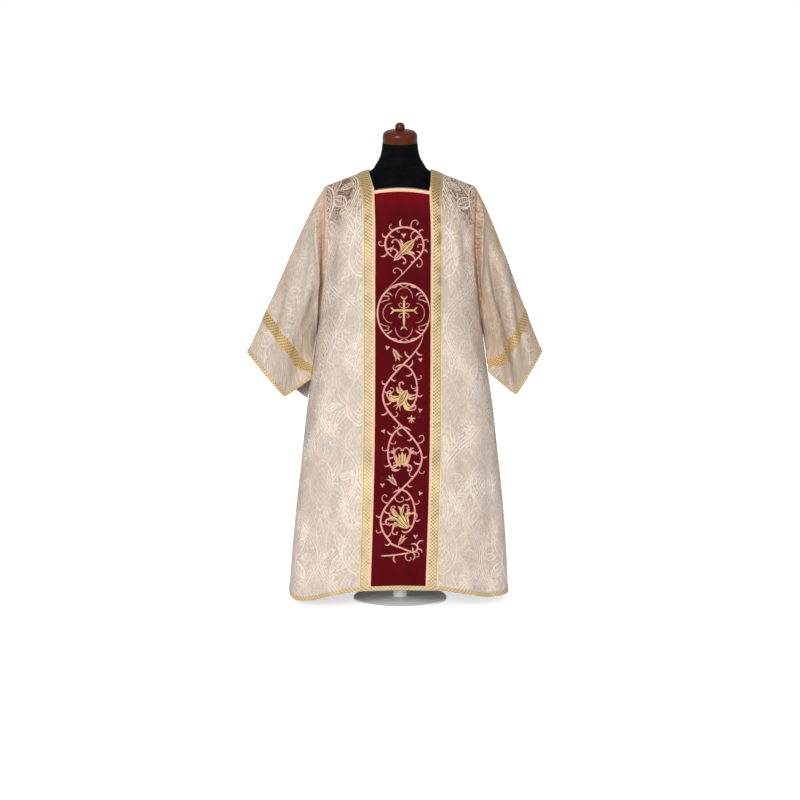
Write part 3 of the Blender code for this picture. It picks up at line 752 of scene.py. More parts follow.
def read_grid(grid, rows, columns):
    """Read a grid of values between its points, at rows and columns counted from its corner."""
    row = np.clip(rows.astype(int), 0, len(grid) - 2)
    column = np.clip(columns.astype(int), 0, grid.shape[1] - 2)
    down = (rows - row)[..., None]
    over = (columns - column)[..., None]
    near = grid[row, column] * (1.0 - over) + grid[row, column + 1] * over
    far = grid[row + 1, column] * (1.0 - over) + grid[row + 1, column + 1] * over
    return near * (1.0 - down) + far * down


class Panel:
    """The marked-out grid of a panel: its rows, columns, points, directions and flat places."""

    def __init__(self, back):
        self.back = back
        self.neck_row = NECK_ROW_BACK if back else NECK_ROW_FRONT
        neck_drop = NECK_DROP_BACK if back else NECK_DROP_FRONT
        power = math.log(neck_drop / ARMHOLE_DEPTH) / math.log(self.neck_row / ARMHOLE_ROWS)
        rows = np.arange(LAST_ROW * FINE + 1) / FINE
        skirt = NECK_HEIGHT - HEM[0].front_left - ARMHOLE_DEPTH
        self.drops = np.where(
            rows <= ARMHOLE_ROWS,
            ARMHOLE_DEPTH * np.minimum(rows / ARMHOLE_ROWS, 1.0) ** power,
            ARMHOLE_DEPTH + skirt * (rows - ARMHOLE_ROWS) / SKIRT_ROWS,
        )
        self.columns = np.arange(-EDGE_COLUMN * FINE, EDGE_COLUMN * FINE + 1) / FINE
        facing = -1.0 if back else 1.0
        self.points = hanging_points(facing * self.columns, self.drops, back)
        if not back:
            middle = 1.0 - (self.points[:, :, 0] / ORPHREY_HALF) ** 2
            below = (self.points[:, :, 2] - NECK_HEIGHT + NECK_DROP_FRONT) / NECK_BOW_REACH
            self.points[:, :, 2] += NECK_BOW * np.maximum(0.0, middle) * np.exp(-below ** 2)
        self.normals = self.directions()
        creases = BACK_CREASES if back else FRONT_CREASES
        calm = np.minimum(1.0, (EDGE_COLUMN - np.abs(self.columns))[None, :])
        rise = crease_rise(creases, self.points[:, :, 0], self.points[:, :, 2]) * calm
        self.points = self.points + self.normals * rise[:, :, None]
        self.normals = self.directions()
        self.flat = self.flat_places()

    def directions(self):
        """Return the outward directions, level at the shoulder seam and straight out at the sides."""
        normals = normals_of(self.points)
        normals[0, :, 1] = 0.0
        normals[ARMHOLE_ROWS * FINE:, 0, 1] = 0.0
        normals[ARMHOLE_ROWS * FINE:, -1, 1] = 0.0
        return unit(normals)

    def flat_places(self):
        """Return where each point lay on the flat cloth, across from the middle and down."""
        middle = len(self.columns) // 2
        across = np.linalg.norm(np.diff(self.points, axis=1), axis=2)
        across = np.concatenate([np.zeros((len(across), 1)), np.cumsum(across, axis=1)], axis=1)
        across -= across[:, middle:middle + 1]
        down = np.linalg.norm(np.diff(self.points, axis=0), axis=2)
        down = np.concatenate([np.zeros((1, down.shape[1])), np.cumsum(down, axis=0)])
        return np.stack([across, -down], axis=2)

    def sampled(self, rows, columns):
        """Return points, directions and flat places at marked rows and columns."""
        rows = np.clip(np.asarray(rows, dtype=float) * FINE, 0, len(self.drops) - 1)
        columns = np.asarray(columns, dtype=float) * FINE + EDGE_COLUMN * FINE
        at = np.meshgrid(rows, columns, indexing="ij")
        normals = unit(read_grid(self.normals, *at))
        return read_grid(self.points, *at), normals, read_grid(self.flat, *at)

    def rows_for(self, row, distance):
        """Return how many marked rows a distance down the middle covers near a row."""
        low = min(int(row * FINE), len(self.drops) - 2)
        step = self.points[low + 1, EDGE_COLUMN * FINE] - self.points[low, EDGE_COLUMN * FINE]
        return distance / np.linalg.norm(step) / FINE


def shell(name, outer, inner, flat, material, closed=False, missing=None):
    """Make cloth with a thickness from its outer and inner grids, and close its edges."""
    rows, columns = outer.shape[:2]
    count = rows * columns
    faces = grid_faces(rows, columns, closed, missing)
    edges = {}
    for face in faces:
        for start, end in zip(face, face[1:] + face[:1]):
            edges[(start, end)] = True
    lower = [tuple(count + corner for corner in reversed(face)) for face in faces]
    rims = [
        (end, start, count + start, count + end)
        for start, end in edges if (end, start) not in edges
    ]
    points = np.concatenate([outer.reshape(-1, 3), inner.reshape(-1, 3)])
    places = np.concatenate([flat.reshape(-1, 2), flat.reshape(-1, 2)])
    used = np.unique(np.array(faces))
    used = np.concatenate([used, used + count])
    new_place = np.zeros(2 * count, dtype=int)
    new_place[used] = np.arange(len(used))
    faces = [tuple(int(new_place[corner]) for corner in face) for face in faces + lower + rims]
    piece = mesh_piece(name, points[used], faces, material, places[used])
    return smoothed(piece, 50.0)


DAMASK_WIDTH = 0.250
DAMASK_HEIGHT = 0.430
# Leaves round the pomegranate: where each one is centred, its lean, length and half width.
DAMASK_LEAVES = (
    (0.052, 0.030, -0.55, 0.078, 0.0135),
    (0.058, -0.030, 0.75, 0.070, 0.0130),
    (0.030, 0.095, -0.35, 0.066, 0.0120),
    (0.000, 0.112, 0.00, 0.080, 0.0130),
    (0.030, -0.098, 0.45, 0.066, 0.0120),
    (0.000, -0.135, 0.00, 0.070, 0.0105),
    (0.088, 0.004, 1.45, 0.040, 0.0100),
)
# Scrolls beside them: centre, radius and the bearings between which the line runs.
DAMASK_SCROLLS = (
    (0.066, 0.072, 0.0145, -2.4, 2.2),
    (0.070, -0.078, 0.0145, -2.2, 2.6),
    (0.020, 0.160, 0.0095, -1.2, 2.9),
    (0.022, -0.172, 0.0090, -2.9, 1.4),
)


def damask_finish(name, painted_shade_from, painted_shade_to, painted_shade_low, painted_shade_high, tone, boldness, grain_share,
                  fold_painted_shade=0.0):
    """Return the damask: pale figures on a beige ground, in ogees with a pomegranate.

    Down to the first distance, counted from the top of the cloth, and along its side edges, the
    colour is painted shade, from the low shade colour to the high one: it stands for the shade on
    the shoulders, at the sides and, on a sleeve, in the hollow beside the armhole seam. It fades out
    by the second distance. The tone is how much red, green and blue the pale threads keep; on the
    sleeves it also darkens them as painted shade. The boldness says how clearly the figures show,
    and the grain share how strongly single threads stand out. The last share says how much painted
    shade lies along the cloth's top fold.
    """
    finish = Finish(name, (0.55, 0.45, 0.37), 0.5, Sheen_Weight=0.04, Sheen_Roughness=0.35)
    across, along = finish.cloth_place()
    # Painted shade: darker from the top of the cloth down, along the side edges and along a sleeve's
    # top fold.
    painted_shade_share = (along * -1.0).falls(painted_shade_from, painted_shade_to)
    cloth_half = (along * -0.26 - 0.11).most(0.0) + 0.235
    painted_shade_share = painted_shade_share.most((cloth_half - across.size()).falls(0.010, 0.070) * 0.25)
    painted_shade_share = painted_shade_share.most(across.size().falls(0.004, 0.060) * fold_painted_shade)
    wave = finish.noise(9.0, detail=2.0, flat=True) - 0.5
    flutter = finish.noise(45.0, detail=2.0, flat=True) - 0.5
    streaks = finish.noise(170.0, detail=2.0, stretch=(1.0, 0.50, 1.0), flat=True)
    across = across + wave * 0.014 + flutter * 0.0030
    along = along + wave * -0.010 + flutter * -0.0030 + 0.06

    half_repeat = DAMASK_WIDTH / 2.0
    half_height = DAMASK_HEIGHT / 2.0
    x0 = across.folded(half_repeat)
    y0 = along.wrapped(-half_height, half_height)
    turn = 2.0 * math.pi / DAMASK_HEIGHT
    border = ((y0 * turn).cosine() + 1.0) * (half_repeat / 2.0)
    second = (x0 - border).above(0.0)
    flipped_y = (y0 + half_height).wrapped(-half_height, half_height)
    x = x0 + (x0 * -2.0 + half_repeat) * second
    y = y0 + (flipped_y - y0) * second
    steep = (y * turn).sine() * (half_repeat / 2.0 * turn)
    edge = (border - x0).size() / (steep * steep + 1.0).root()

    def toned(*colour):
        return tuple(value * share for value, share in zip(colour, tone))

    def outline(distance, width):
        return distance.size().falls(width - 0.0005, width + 0.0005)

    def leaf(x1, y1, lean, length, half_width):
        """Return how far a point lies outside a pointed leaf, and its place on the leaf."""
        turned_x = (x - x1) * math.cos(lean) + (y - y1) * math.sin(lean)
        turned_y = (y - y1) * math.cos(lean) - (x - x1) * math.sin(lean)
        radius = (length * length / 4.0 + half_width * half_width) / (2.0 * half_width)
        reach = (turned_x.size() + (radius - half_width)).power(2.0) + turned_y.power(2.0)
        return reach.root() - radius, turned_x, turned_y

    figure = outline(edge - 0.0040, 0.0024).most(outline(edge - 0.0115, 0.0015))
    beads = y.ribs(0.013) * outline(edge - 0.0180, 0.0022)
    figure = figure.most(beads)

    fruit, fruit_x, fruit_y = leaf(0.0, 0.0, 0.0, 0.150, 0.042)
    nearest = (edge - 0.0155).size().least(fruit.size())
    up_slant = (fruit_x + fruit_y * 0.7).folded(0.0062)
    lattice = up_slant.least((fruit_x - fruit_y * 0.7).folded(0.0062))
    figure = figure.most(outline(fruit, 0.0026)).most(outline(fruit + 0.0080, 0.0014))
    figure = figure.most(lattice.falls(0.0006, 0.0018) * fruit.falls(-0.0120, -0.0095))

    clear = fruit.rises(0.0008, 0.0030)
    for x1, y1, lean, length, half_width in DAMASK_LEAVES:
        rim, leaf_x, leaf_y = leaf(x1, y1, lean, length, half_width)
        veins = (leaf_y + leaf_x.size() * -1.3).folded(0.0048).falls(0.0008, 0.0022)
        inner = rim.falls(-0.0040, -0.0018)
        petal = outline(rim, 0.0019).most(veins * inner * 0.8).most(outline(leaf_x, 0.0010) * inner)
        figure = figure.most(petal * clear)
        nearest = nearest.least(rim.size())
    for x1, y1, radius, start, end in DAMASK_SCROLLS:
        away = x.distance(x1, y1, y)
        bearing = (y - y1).angle(x - x1)
        open_part = bearing.above(start) * (bearing.above(end) * -1.0 + 1.0)
        figure = figure.most(outline(away - radius, 0.0021) * open_part)
        figure = figure.most(outline(away - radius * 0.50, 0.0016) * open_part)
        figure = figure.most(away.falls(radius * 0.20, radius * 0.20 + 0.0012))
        nearest = nearest.least((away - radius).size())

    ripple = finish.noise(20.0, detail=3.0, flat=True) * 0.050 + flutter * 0.010
    echo = ((nearest + ripple) * (2.0 * math.pi / 0.0088)).cosine()
    echo = echo.rises(0.25, 0.85)
    patches = finish.noise(9.0, detail=4.0, flat=True)
    patchy_tone_and_painted_shade = patches.falls(0.62, 0.38)
    figure = figure.most(echo * patchy_tone_and_painted_shade.between(0.30, 0.95))

    hue = finish.noise(34.0, detail=4.0, stretch=(1.0, 0.6, 1.0), flat=True)
    strength = patchy_tone_and_painted_shade.between(0.30, 0.85).most(painted_shade_share)
    pale_ground = finish.ramp(
        hue, (0.34, *toned(0.405, 0.340, 0.289)), (0.66, *toned(0.466, 0.378, 0.303))
    )
    painted_shade_ground = finish.ramp(hue, (0.34, *painted_shade_low), (0.66, *painted_shade_high))
    pale_thread = finish.ramp(
        hue, (0.34, *toned(0.680, 0.600, 0.537)), (0.66, *toned(0.722, 0.616, 0.520))
    )
    painted_shade_thread = finish.ramp(
        hue, (0.34, *toned(0.560, 0.460, 0.380)), (0.66, *toned(0.640, 0.530, 0.425))
    )
    # Where the painted shade lies, the ground and the threads take its darker colours.
    ground = finish.mixed(painted_shade_share, pale_ground, painted_shade_ground)
    thread = finish.mixed(painted_shade_share, pale_thread, painted_shade_thread)
    grain = streaks.falls(0.45, 0.55) * grain_share
    shown = (figure * strength * boldness) * (1.0 - grain_share) + grain
    finish.colour_from(finish.mixed(shown, ground, thread))
    ribs = across.ribs(0.0011)
    slubs = finish.noise(420.0, detail=2.0, stretch=(1.0, 0.12, 1.0), flat=True)
    finish.roughness_from(figure * -0.20 + slubs * 0.12 + 0.50)
    finish.raised_by(ribs, 0.00010)
    finish.raised_by(slubs, 0.00018)
    finish.raised_by(figure, 0.00045)
    return finish


# On the body, the damask's painted shade lies near the shoulders and along the side edges.
damask = damask_finish(
    "cream_damask", 0.08, 0.22, (0.066, 0.027, 0.011), (0.175, 0.086, 0.036),
    (0.97, 0.97, 0.98), 1.0, 0.19
)
front = Panel(back=False)
back = Panel(back=True)


def make_panel(name, panel, node):
    """Sew up one panel, with its neck left open."""
    neck_rows = panel.neck_row * FINE
    neck_columns = ORPHREY_COLUMN * FINE

    def in_neck(row, column):
        return row < neck_rows and abs(column + 0.5 - EDGE_COLUMN * FINE) < neck_columns

    inner = panel.points - panel.normals * BROCADE
    piece = shell(name, panel.points, inner, panel.flat, damask.material,
                  missing=in_neck)
    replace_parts(piece, node)


make_panel("front_panel", front, "front_body")
make_panel("back_panel", back, "back_body")


# ==================================================================== the sleeves
# Each sleeve is one piece of the same damask, sewn into the deep armhole and hanging open over
# the arm. It folds at its lowest tip, and a second fold tucks it in against the body.
CUFF_FULLNESS = 0.022
CUFF_SOFTENING = 9
SLEEVE_FULLNESS = 0.012
SLEEVE_LEAD = 0.045
UNDERARM_STEPS = 1.3
UNDERARM_LEAD_LOSS = 0.75
RIDGE_FROM_HOLLOW = 0.024
RIDGE_TO_HOLLOW_WIDTH = 1.4
SEAM_STITCHED = 0.006
SLEEVE_ROWS = 144
SLEEVE_CROWDING = 1.4
LOOP_STEPS = 2 * ARMHOLE_ROWS
CUFF_COLUMNS = "step out depth height"
LEFT_CUFF = table(
    CUFF_COLUMNS,
    (0, 0.457, 0.002, 0.746),
    (10, 0.340, -0.026, 0.609),
    (11, 0.258, -0.042, 0.672),
    (14, 0.279, 0.038, 0.600),
    (22, 0.457, 0.002, 0.746),
)
RIGHT_CUFF = table(
    CUFF_COLUMNS,
    (0, 0.424, 0.002, 0.749),
    (10, 0.343, -0.026, 0.615),
    (11, 0.256, -0.042, 0.690),
    (14, 0.300, 0.032, 0.664),
    (22, 0.424, 0.002, 0.749),
)
LEFT_CREASES = table(
    CREASE_COLUMNS,
    (-0.268, 1.100, -0.318, 0.700, 0.014, -0.0085),
    (-0.300, 1.060, -0.345, 0.720, 0.020, 0.0075),
    (-0.330, 0.960, -0.395, 0.720, 0.013, -0.0045),
    (-0.345, 0.880, -0.372, 0.620, 0.010, 0.0030),
)
RIGHT_CREASES = table(
    CREASE_COLUMNS,
    (0.259, 1.080, 0.330, 0.630, 0.0125, -0.0330),
    (0.288, 1.050, 0.356, 0.640, 0.0190, 0.0200),
    (0.318, 0.960, 0.372, 0.720, 0.0120, -0.0045),
    (0.338, 0.900, 0.392, 0.700, 0.0120, 0.0040),
)
# Beside the armhole's seam the cloth first turns in and then stands up in a long ridge, all the
# way from the shoulder to the underarm: how far from the seam, how wide and how deep.
SEAM_FOLDS = table(
    "step hollow_from_seam hollow_width hollow_depth ridge_rise",
    (0, 0.012, 0.0050, 0.0000, 0.0000),
    (2, 0.016, 0.0060, 0.0040, 0.0020),
    (4, 0.023, 0.0115, 0.0120, 0.0120),
    (7, 0.024, 0.0130, 0.0160, 0.0150),
    (9, 0.017, 0.0100, 0.0130, 0.0110),
    (10, 0.012, 0.0070, 0.0080, 0.0050),
    (11, 0.010, 0.0060, 0.0000, 0.0000),
)


def armhole_loop(right):
    """Return the loop of the armhole: its points, their directions and the way out of it."""
    last = ARMHOLE_ROWS * FINE

    def edge(panel, place):
        inward = 1 if place == 0 else -2
        points = panel.points[:last + 1, place]
        return points, panel.normals[:last + 1, place], unit(points - panel.points[:last + 1, inward])

    near = edge(front, -1 if right else 0)
    far = edge(back, 0 if right else -1)
    loop = []
    for here, there in zip(near, far):
        seams = (here + there) / 2.0
        loop.append(np.concatenate([seams[:1], here[1:last], seams[last:], there[last - 1:0:-1]]))
    points, normals, ways = loop
    normals = unit(normals)
    normals[last] = (0.0, 0.0, -1.0)
    return points, normals, unit(ways)


def cuff_loop(corners, right):
    """Return the loop of the cuff, which turns softly at its corners and bulges between them."""
    steps = np.arange(LOOP_STEPS * FINE) / FINE
    places = column_of(corners, "step")
    out = np.interp(steps, places, column_of(corners, "out"))
    depth = np.interp(steps, places, column_of(corners, "depth"))
    height = np.interp(steps, places, column_of(corners, "height"))
    front_edge = np.sin(math.pi * np.clip(steps / corners[1].step, 0.0, 1.0)) ** 0.8
    back_start = corners[-2].step
    back_edge = np.sin(
        math.pi * np.clip((steps - back_start) / (LOOP_STEPS - back_start), 0.0, 1.0)
    ) ** 0.8
    depth += CUFF_FULLNESS * (back_edge - front_edge)
    points = np.stack([(1.0 if right else -1.0) * out, depth, height], axis=1)
    for _ in range(CUFF_SOFTENING):
        points = (np.roll(points, 1, axis=0) + 2.0 * points + np.roll(points, -1, axis=0)) / 4.0
    return points


class Sleeve:
    """The grid of a sleeve, from the armhole to the cuff, with its directions and flat places."""

    def __init__(self, corners, creases, right):
        armhole, armhole_normals, ways = armhole_loop(right)
        cuff = cuff_loop(corners, right)
        self.lengths = np.linalg.norm(cuff - armhole, axis=1)
        shares = (np.linspace(0.0, 1.0, SLEEVE_ROWS + 1) ** SLEEVE_CROWDING)[:, None, None]
        steps = np.arange(len(armhole)) / FINE
        underarm = np.exp(-((steps - ARMHOLE_ROWS) / UNDERARM_STEPS) ** 2)[:, None]
        lead = SLEEVE_LEAD * np.sqrt(shares) * (1.0 - shares) ** 2
        lead = lead * (1.0 - UNDERARM_LEAD_LOSS * underarm)
        self.points = armhole + (cuff - armhole) * shares + ways * lead
        from_top = np.minimum(steps, LOOP_STEPS - steps)
        facing = np.where(steps < ARMHOLE_ROWS, -1.0, 1.0)
        side_weight = np.sin(math.pi * from_top / ARMHOLE_ROWS) * facing
        self.points[:, :, 1] += SLEEVE_FULLNESS * np.sin(math.pi * shares[:, :, 0]) * side_weight
        self.turn = -1.0 if right else 1.0
        self.armhole_normals = armhole_normals
        self.normals = self.directions()
        rise = crease_rise(creases, self.points[:, :, 0], self.points[:, :, 2])
        outside = np.clip(3.0 * self.normals[:, :, 1] * facing, 0.0, 1.0)
        rise *= outside * np.minimum(1.0, shares[:, :, 0] * 12.0)

        def fold(name):
            return read_table(column_of(SEAM_FOLDS, "step"), column_of(SEAM_FOLDS, name), from_top)

        away = self.lengths * shares[:, :, 0]
        hollow = (away - fold("hollow_from_seam")) / fold("hollow_width")
        ridge = away - fold("hollow_from_seam") - RIDGE_FROM_HOLLOW
        ridge /= RIDGE_TO_HOLLOW_WIDTH * fold("hollow_width")
        stitched = np.minimum(1.0, away / SEAM_STITCHED)
        rise -= fold("hollow_depth") * np.exp(-hollow ** 2) * stitched
        rise += fold("ridge_rise") * np.exp(-ridge ** 2)
        self.points = self.points + self.normals * rise[:, :, None]
        self.normals = self.directions()
        around = np.linalg.norm(np.roll(self.points, -1, axis=1) - self.points, axis=2)
        around = np.cumsum(around, axis=1) - around
        along = np.broadcast_to(-self.lengths * shares[:, :, 0], around.shape)
        self.flat = np.stack([around, along], axis=2)

    def directions(self):
        """Return the outward directions, which match the panels' at the armhole."""
        normals = normals_of(self.points, closed=True) * self.turn
        normals[0] = self.armhole_normals
        return unit(normals)

    def ring(self, distance):
        """Return the points and directions at a distance, or at one a step, up from the cuff."""
        at = SLEEVE_ROWS * (1.0 - distance / self.lengths) ** (1.0 / SLEEVE_CROWDING)
        low = np.clip(at.astype(int), 0, SLEEVE_ROWS - 1)
        share = (at - low)[:, None]
        places = np.arange(len(at))

        def read(grid):
            return grid[low, places] * (1.0 - share) + grid[low + 1, places] * share

        return read(self.points), unit(read(self.normals))


def make_sleeve(side, sleeve, cloth):
    """Sew up one sleeve."""
    turn = -1 if side == "right" else 1
    outer = sleeve.points[:, ::turn]
    inner = outer - sleeve.normals[:, ::turn] * BROCADE
    piece = shell("sleeve_piece_" + side, outer, inner, sleeve.flat[:, ::turn], cloth.material,
                  closed=True)
    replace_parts(piece, "sleeve_" + side)


left_sleeve = Sleeve(LEFT_CUFF, LEFT_CREASES, right=False)
right_sleeve = Sleeve(RIGHT_CUFF, RIGHT_CREASES, right=True)
# Each sleeve has its own copy of the damask with painted shade: a warm brown hollow beside the
# armhole seam and shade along the top fold. The right sleeve also has a darker tone as painted shade.
left_shaded_damask = damask_finish(
    "sleeve_damask_left_painted_shade", 0.022, 0.055, (0.370, 0.228, 0.130), (0.440, 0.288, 0.172),
    (0.85, 0.83, 0.80), 0.95, 0.32, 0.40
)
right_shaded_damask = damask_finish(
    "sleeve_damask_right_painted_shade", 0.034, 0.066, (0.250, 0.125, 0.056), (0.370, 0.200, 0.098),
    (0.80, 0.755, 0.695), 1.00, 0.33, 0.85
)
make_sleeve("left", left_sleeve, left_shaded_damask)
make_sleeve("right", right_sleeve, right_shaded_damask)


# ==================================================================== the orphreys
# A long panel of dark red velvet down the middle of the front, and a plain one down the back.
# Each is laid on the damask and sewn down at both edges, under the galloons' inner edges.
VELVET = 0.0014
LAID_GAP = 0.0001
NECK_BAND_WIDTH = 0.0120
HEM_BINDING_WIDTH = 0.0130


def velvet_finish():
    """Return dark red velvet, darker lower down, with a painted sheen that is brighter near its top.
    """
    finish = Finish("dark_red_velvet", (0.105, 0.004, 0.010), 0.85, Sheen_Weight=0.07,
                    Sheen_Roughness=0.30, Sheen_Tint=(0.60, 0.03, 0.06, 1.0),
                    Specular_IOR_Level=0.03)
    across, along = finish.cloth_place()
    brushed = finish.noise(22.0, detail=4.0, stretch=(1.0, 0.35, 1.0), flat=True)
    low = finish.ramp(
        brushed, (0.30, 0.060, 0.0022, 0.0042), (0.55, 0.077, 0.0028, 0.0046),
        (0.75, 0.094, 0.0036, 0.0058)
    )
    high = finish.ramp(brushed, (0.30, 0.120, 0.0025, 0.0056), (0.70, 0.168, 0.0040, 0.0080))
    # Painted sheen: the velvet is redder and brighter near the top of the cloth.
    finish.colour_from(finish.mixed((along * -1.0).falls(0.08, 0.22), low, high))
    finish.raised_by(finish.noise(1500.0, detail=1.0, flat=True), 0.0005)
    return finish


velvet = velvet_finish()


def spread(first, last, steps):
    """Return evenly spaced marks from the first to the last."""
    return np.linspace(first, last, steps + 1)


def laid_on(name, points, normals, flat, thickness, material, closed=False):
    """Make a strip that lies close on other cloth."""
    outer, inner = points + normals * thickness, points + normals * LAID_GAP
    return shell(name, outer, inner, flat, material, closed=closed)


def make_orphrey(side, panel):
    """Lay one velvet panel on the damask."""
    top_row = panel.neck_row + panel.rows_for(panel.neck_row, NECK_BAND_WIDTH + SEAM_GAP)
    low_row = LAST_ROW - panel.rows_for(LAST_ROW, HEM_BINDING_WIDTH + SEAM_GAP)
    edge = ORPHREY_COLUMN * (1.0 - SEAM_GAP / ORPHREY_HALF)
    points, normals, flat = panel.sampled(spread(top_row, low_row, 150), spread(-edge, edge, 24))
    piece = laid_on("velvet_" + side, points, normals, flat, VELVET, velvet.material)
    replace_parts(piece, "orphrey_" + side)


make_orphrey("front", front)
make_orphrey("back", back)


# ==================================================================== the embroidery
# A scrolling vine with flowers, small leaves and one medallion, worked on the front orphrey in
# raised satin stitch: peach silk for stems, gold thread for flowers and brown for their veins.
# The sizes and places of the stitching are in millimetres, across from the middle and up.
STITCH_ACROSS = np.array((-1.0, -0.85, -0.45, 0.0, 0.45, 0.85, 1.0))
STITCH_HEIGHT = np.array((0.0, 0.52, 0.90, 1.0, 0.90, 0.52, 0.0))
STITCH_STEP = 1.4
STITCH_SINK = 0.2
WOUND_PLACES = 33
FULL_HEIGHT_FROM = 1.2

# The main stem is an even wave from its top to its end, with bends at these heights and sides.
STEM_SWING = 57.0
STEM_TOP = 810.0
STEM_END = 200.0
BEND_HEIGHT = 180.0
BENDS = ((630.0, -1.0), (450.0, 1.0), (270.0, -1.0))
# What winds: its middle, half width and half height, the bearings it starts and ends at, and the
# share of its size that it ends with. A branch winds about the middle of its own bend.
BRANCH = ((0.0, 0.0), 0.92 * STEM_SWING, BEND_HEIGHT / 2.0, 62, 255, 0.34)
SCROLL = ((0.0, 1062.0), 58.0, 52.0, -50, 235, 0.84)
END_CURL = ((38.0, 192.0), 16.0, 14.0, -130, 120, 0.70)
SCROLL_LEAD = ((-41.0, 942.0), (0.0, 982.0))
LOW_LEAF = ((30.0, 176.0), (-10.0, 170.0), (-54.0, 168.0))
STEM_WIDTH = 5.6
BRANCH_WIDTH = 5.2
LOW_LEAF_WIDTH = 4.6
TENDRIL_WIDTH = 1.2
TENDRIL_FOOT = (40.0, 62.0)
TENDRIL_LENGTH = 26.0
TENDRIL_BOW = 3.0
TENDRIL_BEARINGS = (-20.0, 0.0, 20.0)

# Sprigs, drawn round their own feet and growing upwards, stand along each stem in this order.
# Each takes the largest size that leaves it room.
SPRIGS = (
    ("curl", 3.6, ((0, 0), (2, 9), (9, 16), (18, 15), (20, 8), (15, 5))),
    ("petal", 4.8, ((0, 0), (1, 7), (6, 13), (13, 15))),
    ("curl", 3.2, ((0, 0), (1, 8), (7, 12), (12, 8))),
    ("petal", 4.4, ((0, 0), (0, 6), (4, 10), (10, 10))),
)
SPRIG_STEP = 17
SPRIG_START = 10
SPRIG_END = 30
SPRIG_LEAN = 0.95
SPRIG_SIZES = (1.2, 1.0, 0.8)
SPRIG_ROOM = 5.0
PANEL_REACH = 73.0
FLOWER_REACH = 13.0
LEAF_REACH = 7.0

# Flowers and buds, each drawn round its own middle and growing upwards: the thread, the kind of
# shape, its width and its places. The side shapes are worked on both sides.
BUD = (
    ("peach", "petal", 6.0, ((0, -26), (0, -19), (0, -10)), False),
    ("peach", "petal", 4.0, ((1, -24), (3.4, -17), (4, -10)), True),
    ("gold", "petal", 6.4, ((0, -12), (0, -2), (0, 10), (0, 22)), False),
    ("gold", "petal", 5.4, ((2, -12), (4.4, -2), (4.4, 9), (1.5, 20)), True),
    ("brown", "line", 1.2, ((1.6, -22), (2.0, -8), (2.4, 4), (1.6, 17)), True),
    ("brown", "line", 0.9, ((4.2, -9), (5.0, 1), (4.0, 12)), True),
    ("brown", "line", 0.9, ((2.2, 8), (5.4, 6)), True),
    ("brown", "line", 0.9, ((2.2, -1), (5.6, -3)), True),
    ("peach", "petal", 3.2, ((0, 20), (0, 26), (-1, 32)), False),
    ("peach", "curl", 3.2, ((6, -3), (12, 0), (18, 1), (23, -1), (24, -6), (21, -8)), True),
    ("gold", "petal", 3.4, ((6, 0), (12, 4), (18, 5)), True),
    ("peach", "curl", 3.0, ((4, -13), (9, -12), (14, -13), (16, -17), (13, -19)), True),
)
SHUT_BUD = (
    ("gold", "petal", 5.0, ((0, -13), (0, -3), (0, 8), (0, 15)), False),
    ("peach", "petal", 3.4, ((0, -12), (3, -3), (4, 6), (8, 12)), True),
    ("brown", "line", 1.2, ((1, -8), (1, 2), (1, 8)), True),
)
LILY = (
    ("gold", "petal", 8.0, ((0, -15), (0, -4), (0, 8), (0, 19)), False),
    ("gold", "petal", 5.5, ((1, -14), (5, -4), (5, 7), (2, 17)), True),
    ("brown", "line", 1.5, ((2, -10), (3, 0), (2, 12)), True),
    ("brown", "line", 1.4, ((0, -2), (0, 6), (0, 15)), False),
    ("peach", "curl", 1.8, ((2, 15), (5, 19), (7, 22)), True),
    ("peach", "line", 1.4, ((0, 17), (0, 24)), False),
    ("gold", "petal", 8.0, ((4, 0), (11, 7), (18, 9), (24, 4)), True),
    ("gold", "petal", 5.0, ((5, 2), (10, 11), (17, 14), (24, 12)), True),
    ("peach", "curl", 3.4, ((12, 12), (21, 13), (28, 7), (26, 1), (22, 3)), True),
    ("brown", "line", 1.4, ((6, 2), (13, 8), (20, 8)), True),
    ("gold", "petal", 6.5, ((4, -7), (12, -6), (19, -11)), True),
    ("peach", "curl", 3.2, ((5, -9), (13, -12), (18, -19), (14, -23), (11, -20)), True),
    ("brown", "line", 1.4, ((6, -7), (12, -7), (16, -10)), True),
)
TULIP = (
    ("gold", "petal", 7.5, ((0, -18), (0, -8), (0, 3), (0, 10)), False),
    ("gold", "petal", 6.0, ((2, -18), (5, -9), (5, -1), (8, 7)), True),
    ("gold", "petal", 4.6, ((3, -17), (9, -10), (12, -2), (14, 4)), True),
    ("brown", "line", 1.4, ((2, -14), (3, -6), (3, 2)), True),
    ("brown", "line", 1.2, ((4, -14), (8, -7), (9, 0)), True),
    ("peach", "curl", 3.8, ((3, -20), (12, -12), (16, 0), (15, 12), (8, 19), (2, 15), (3, 12)), True),
    ("peach", "petal", 4.4, ((14, 2), (19, 10), (24, 13)), True),
    ("peach", "curl", 3.2, ((17, 6), (24, 10), (30, 8), (29, 4)), True),
    ("peach", "petal", 3.6, ((15, 8), (18, 15), (18, 20)), True),
    ("peach", "curl", 4.2, ((3, -20), (12, -17), (19, -21), (20, -28), (14, -30), (12, -26)), True),
    ("gold", "petal", 3.2, ((5, -18), (12, -20), (15, -25)), True),
)
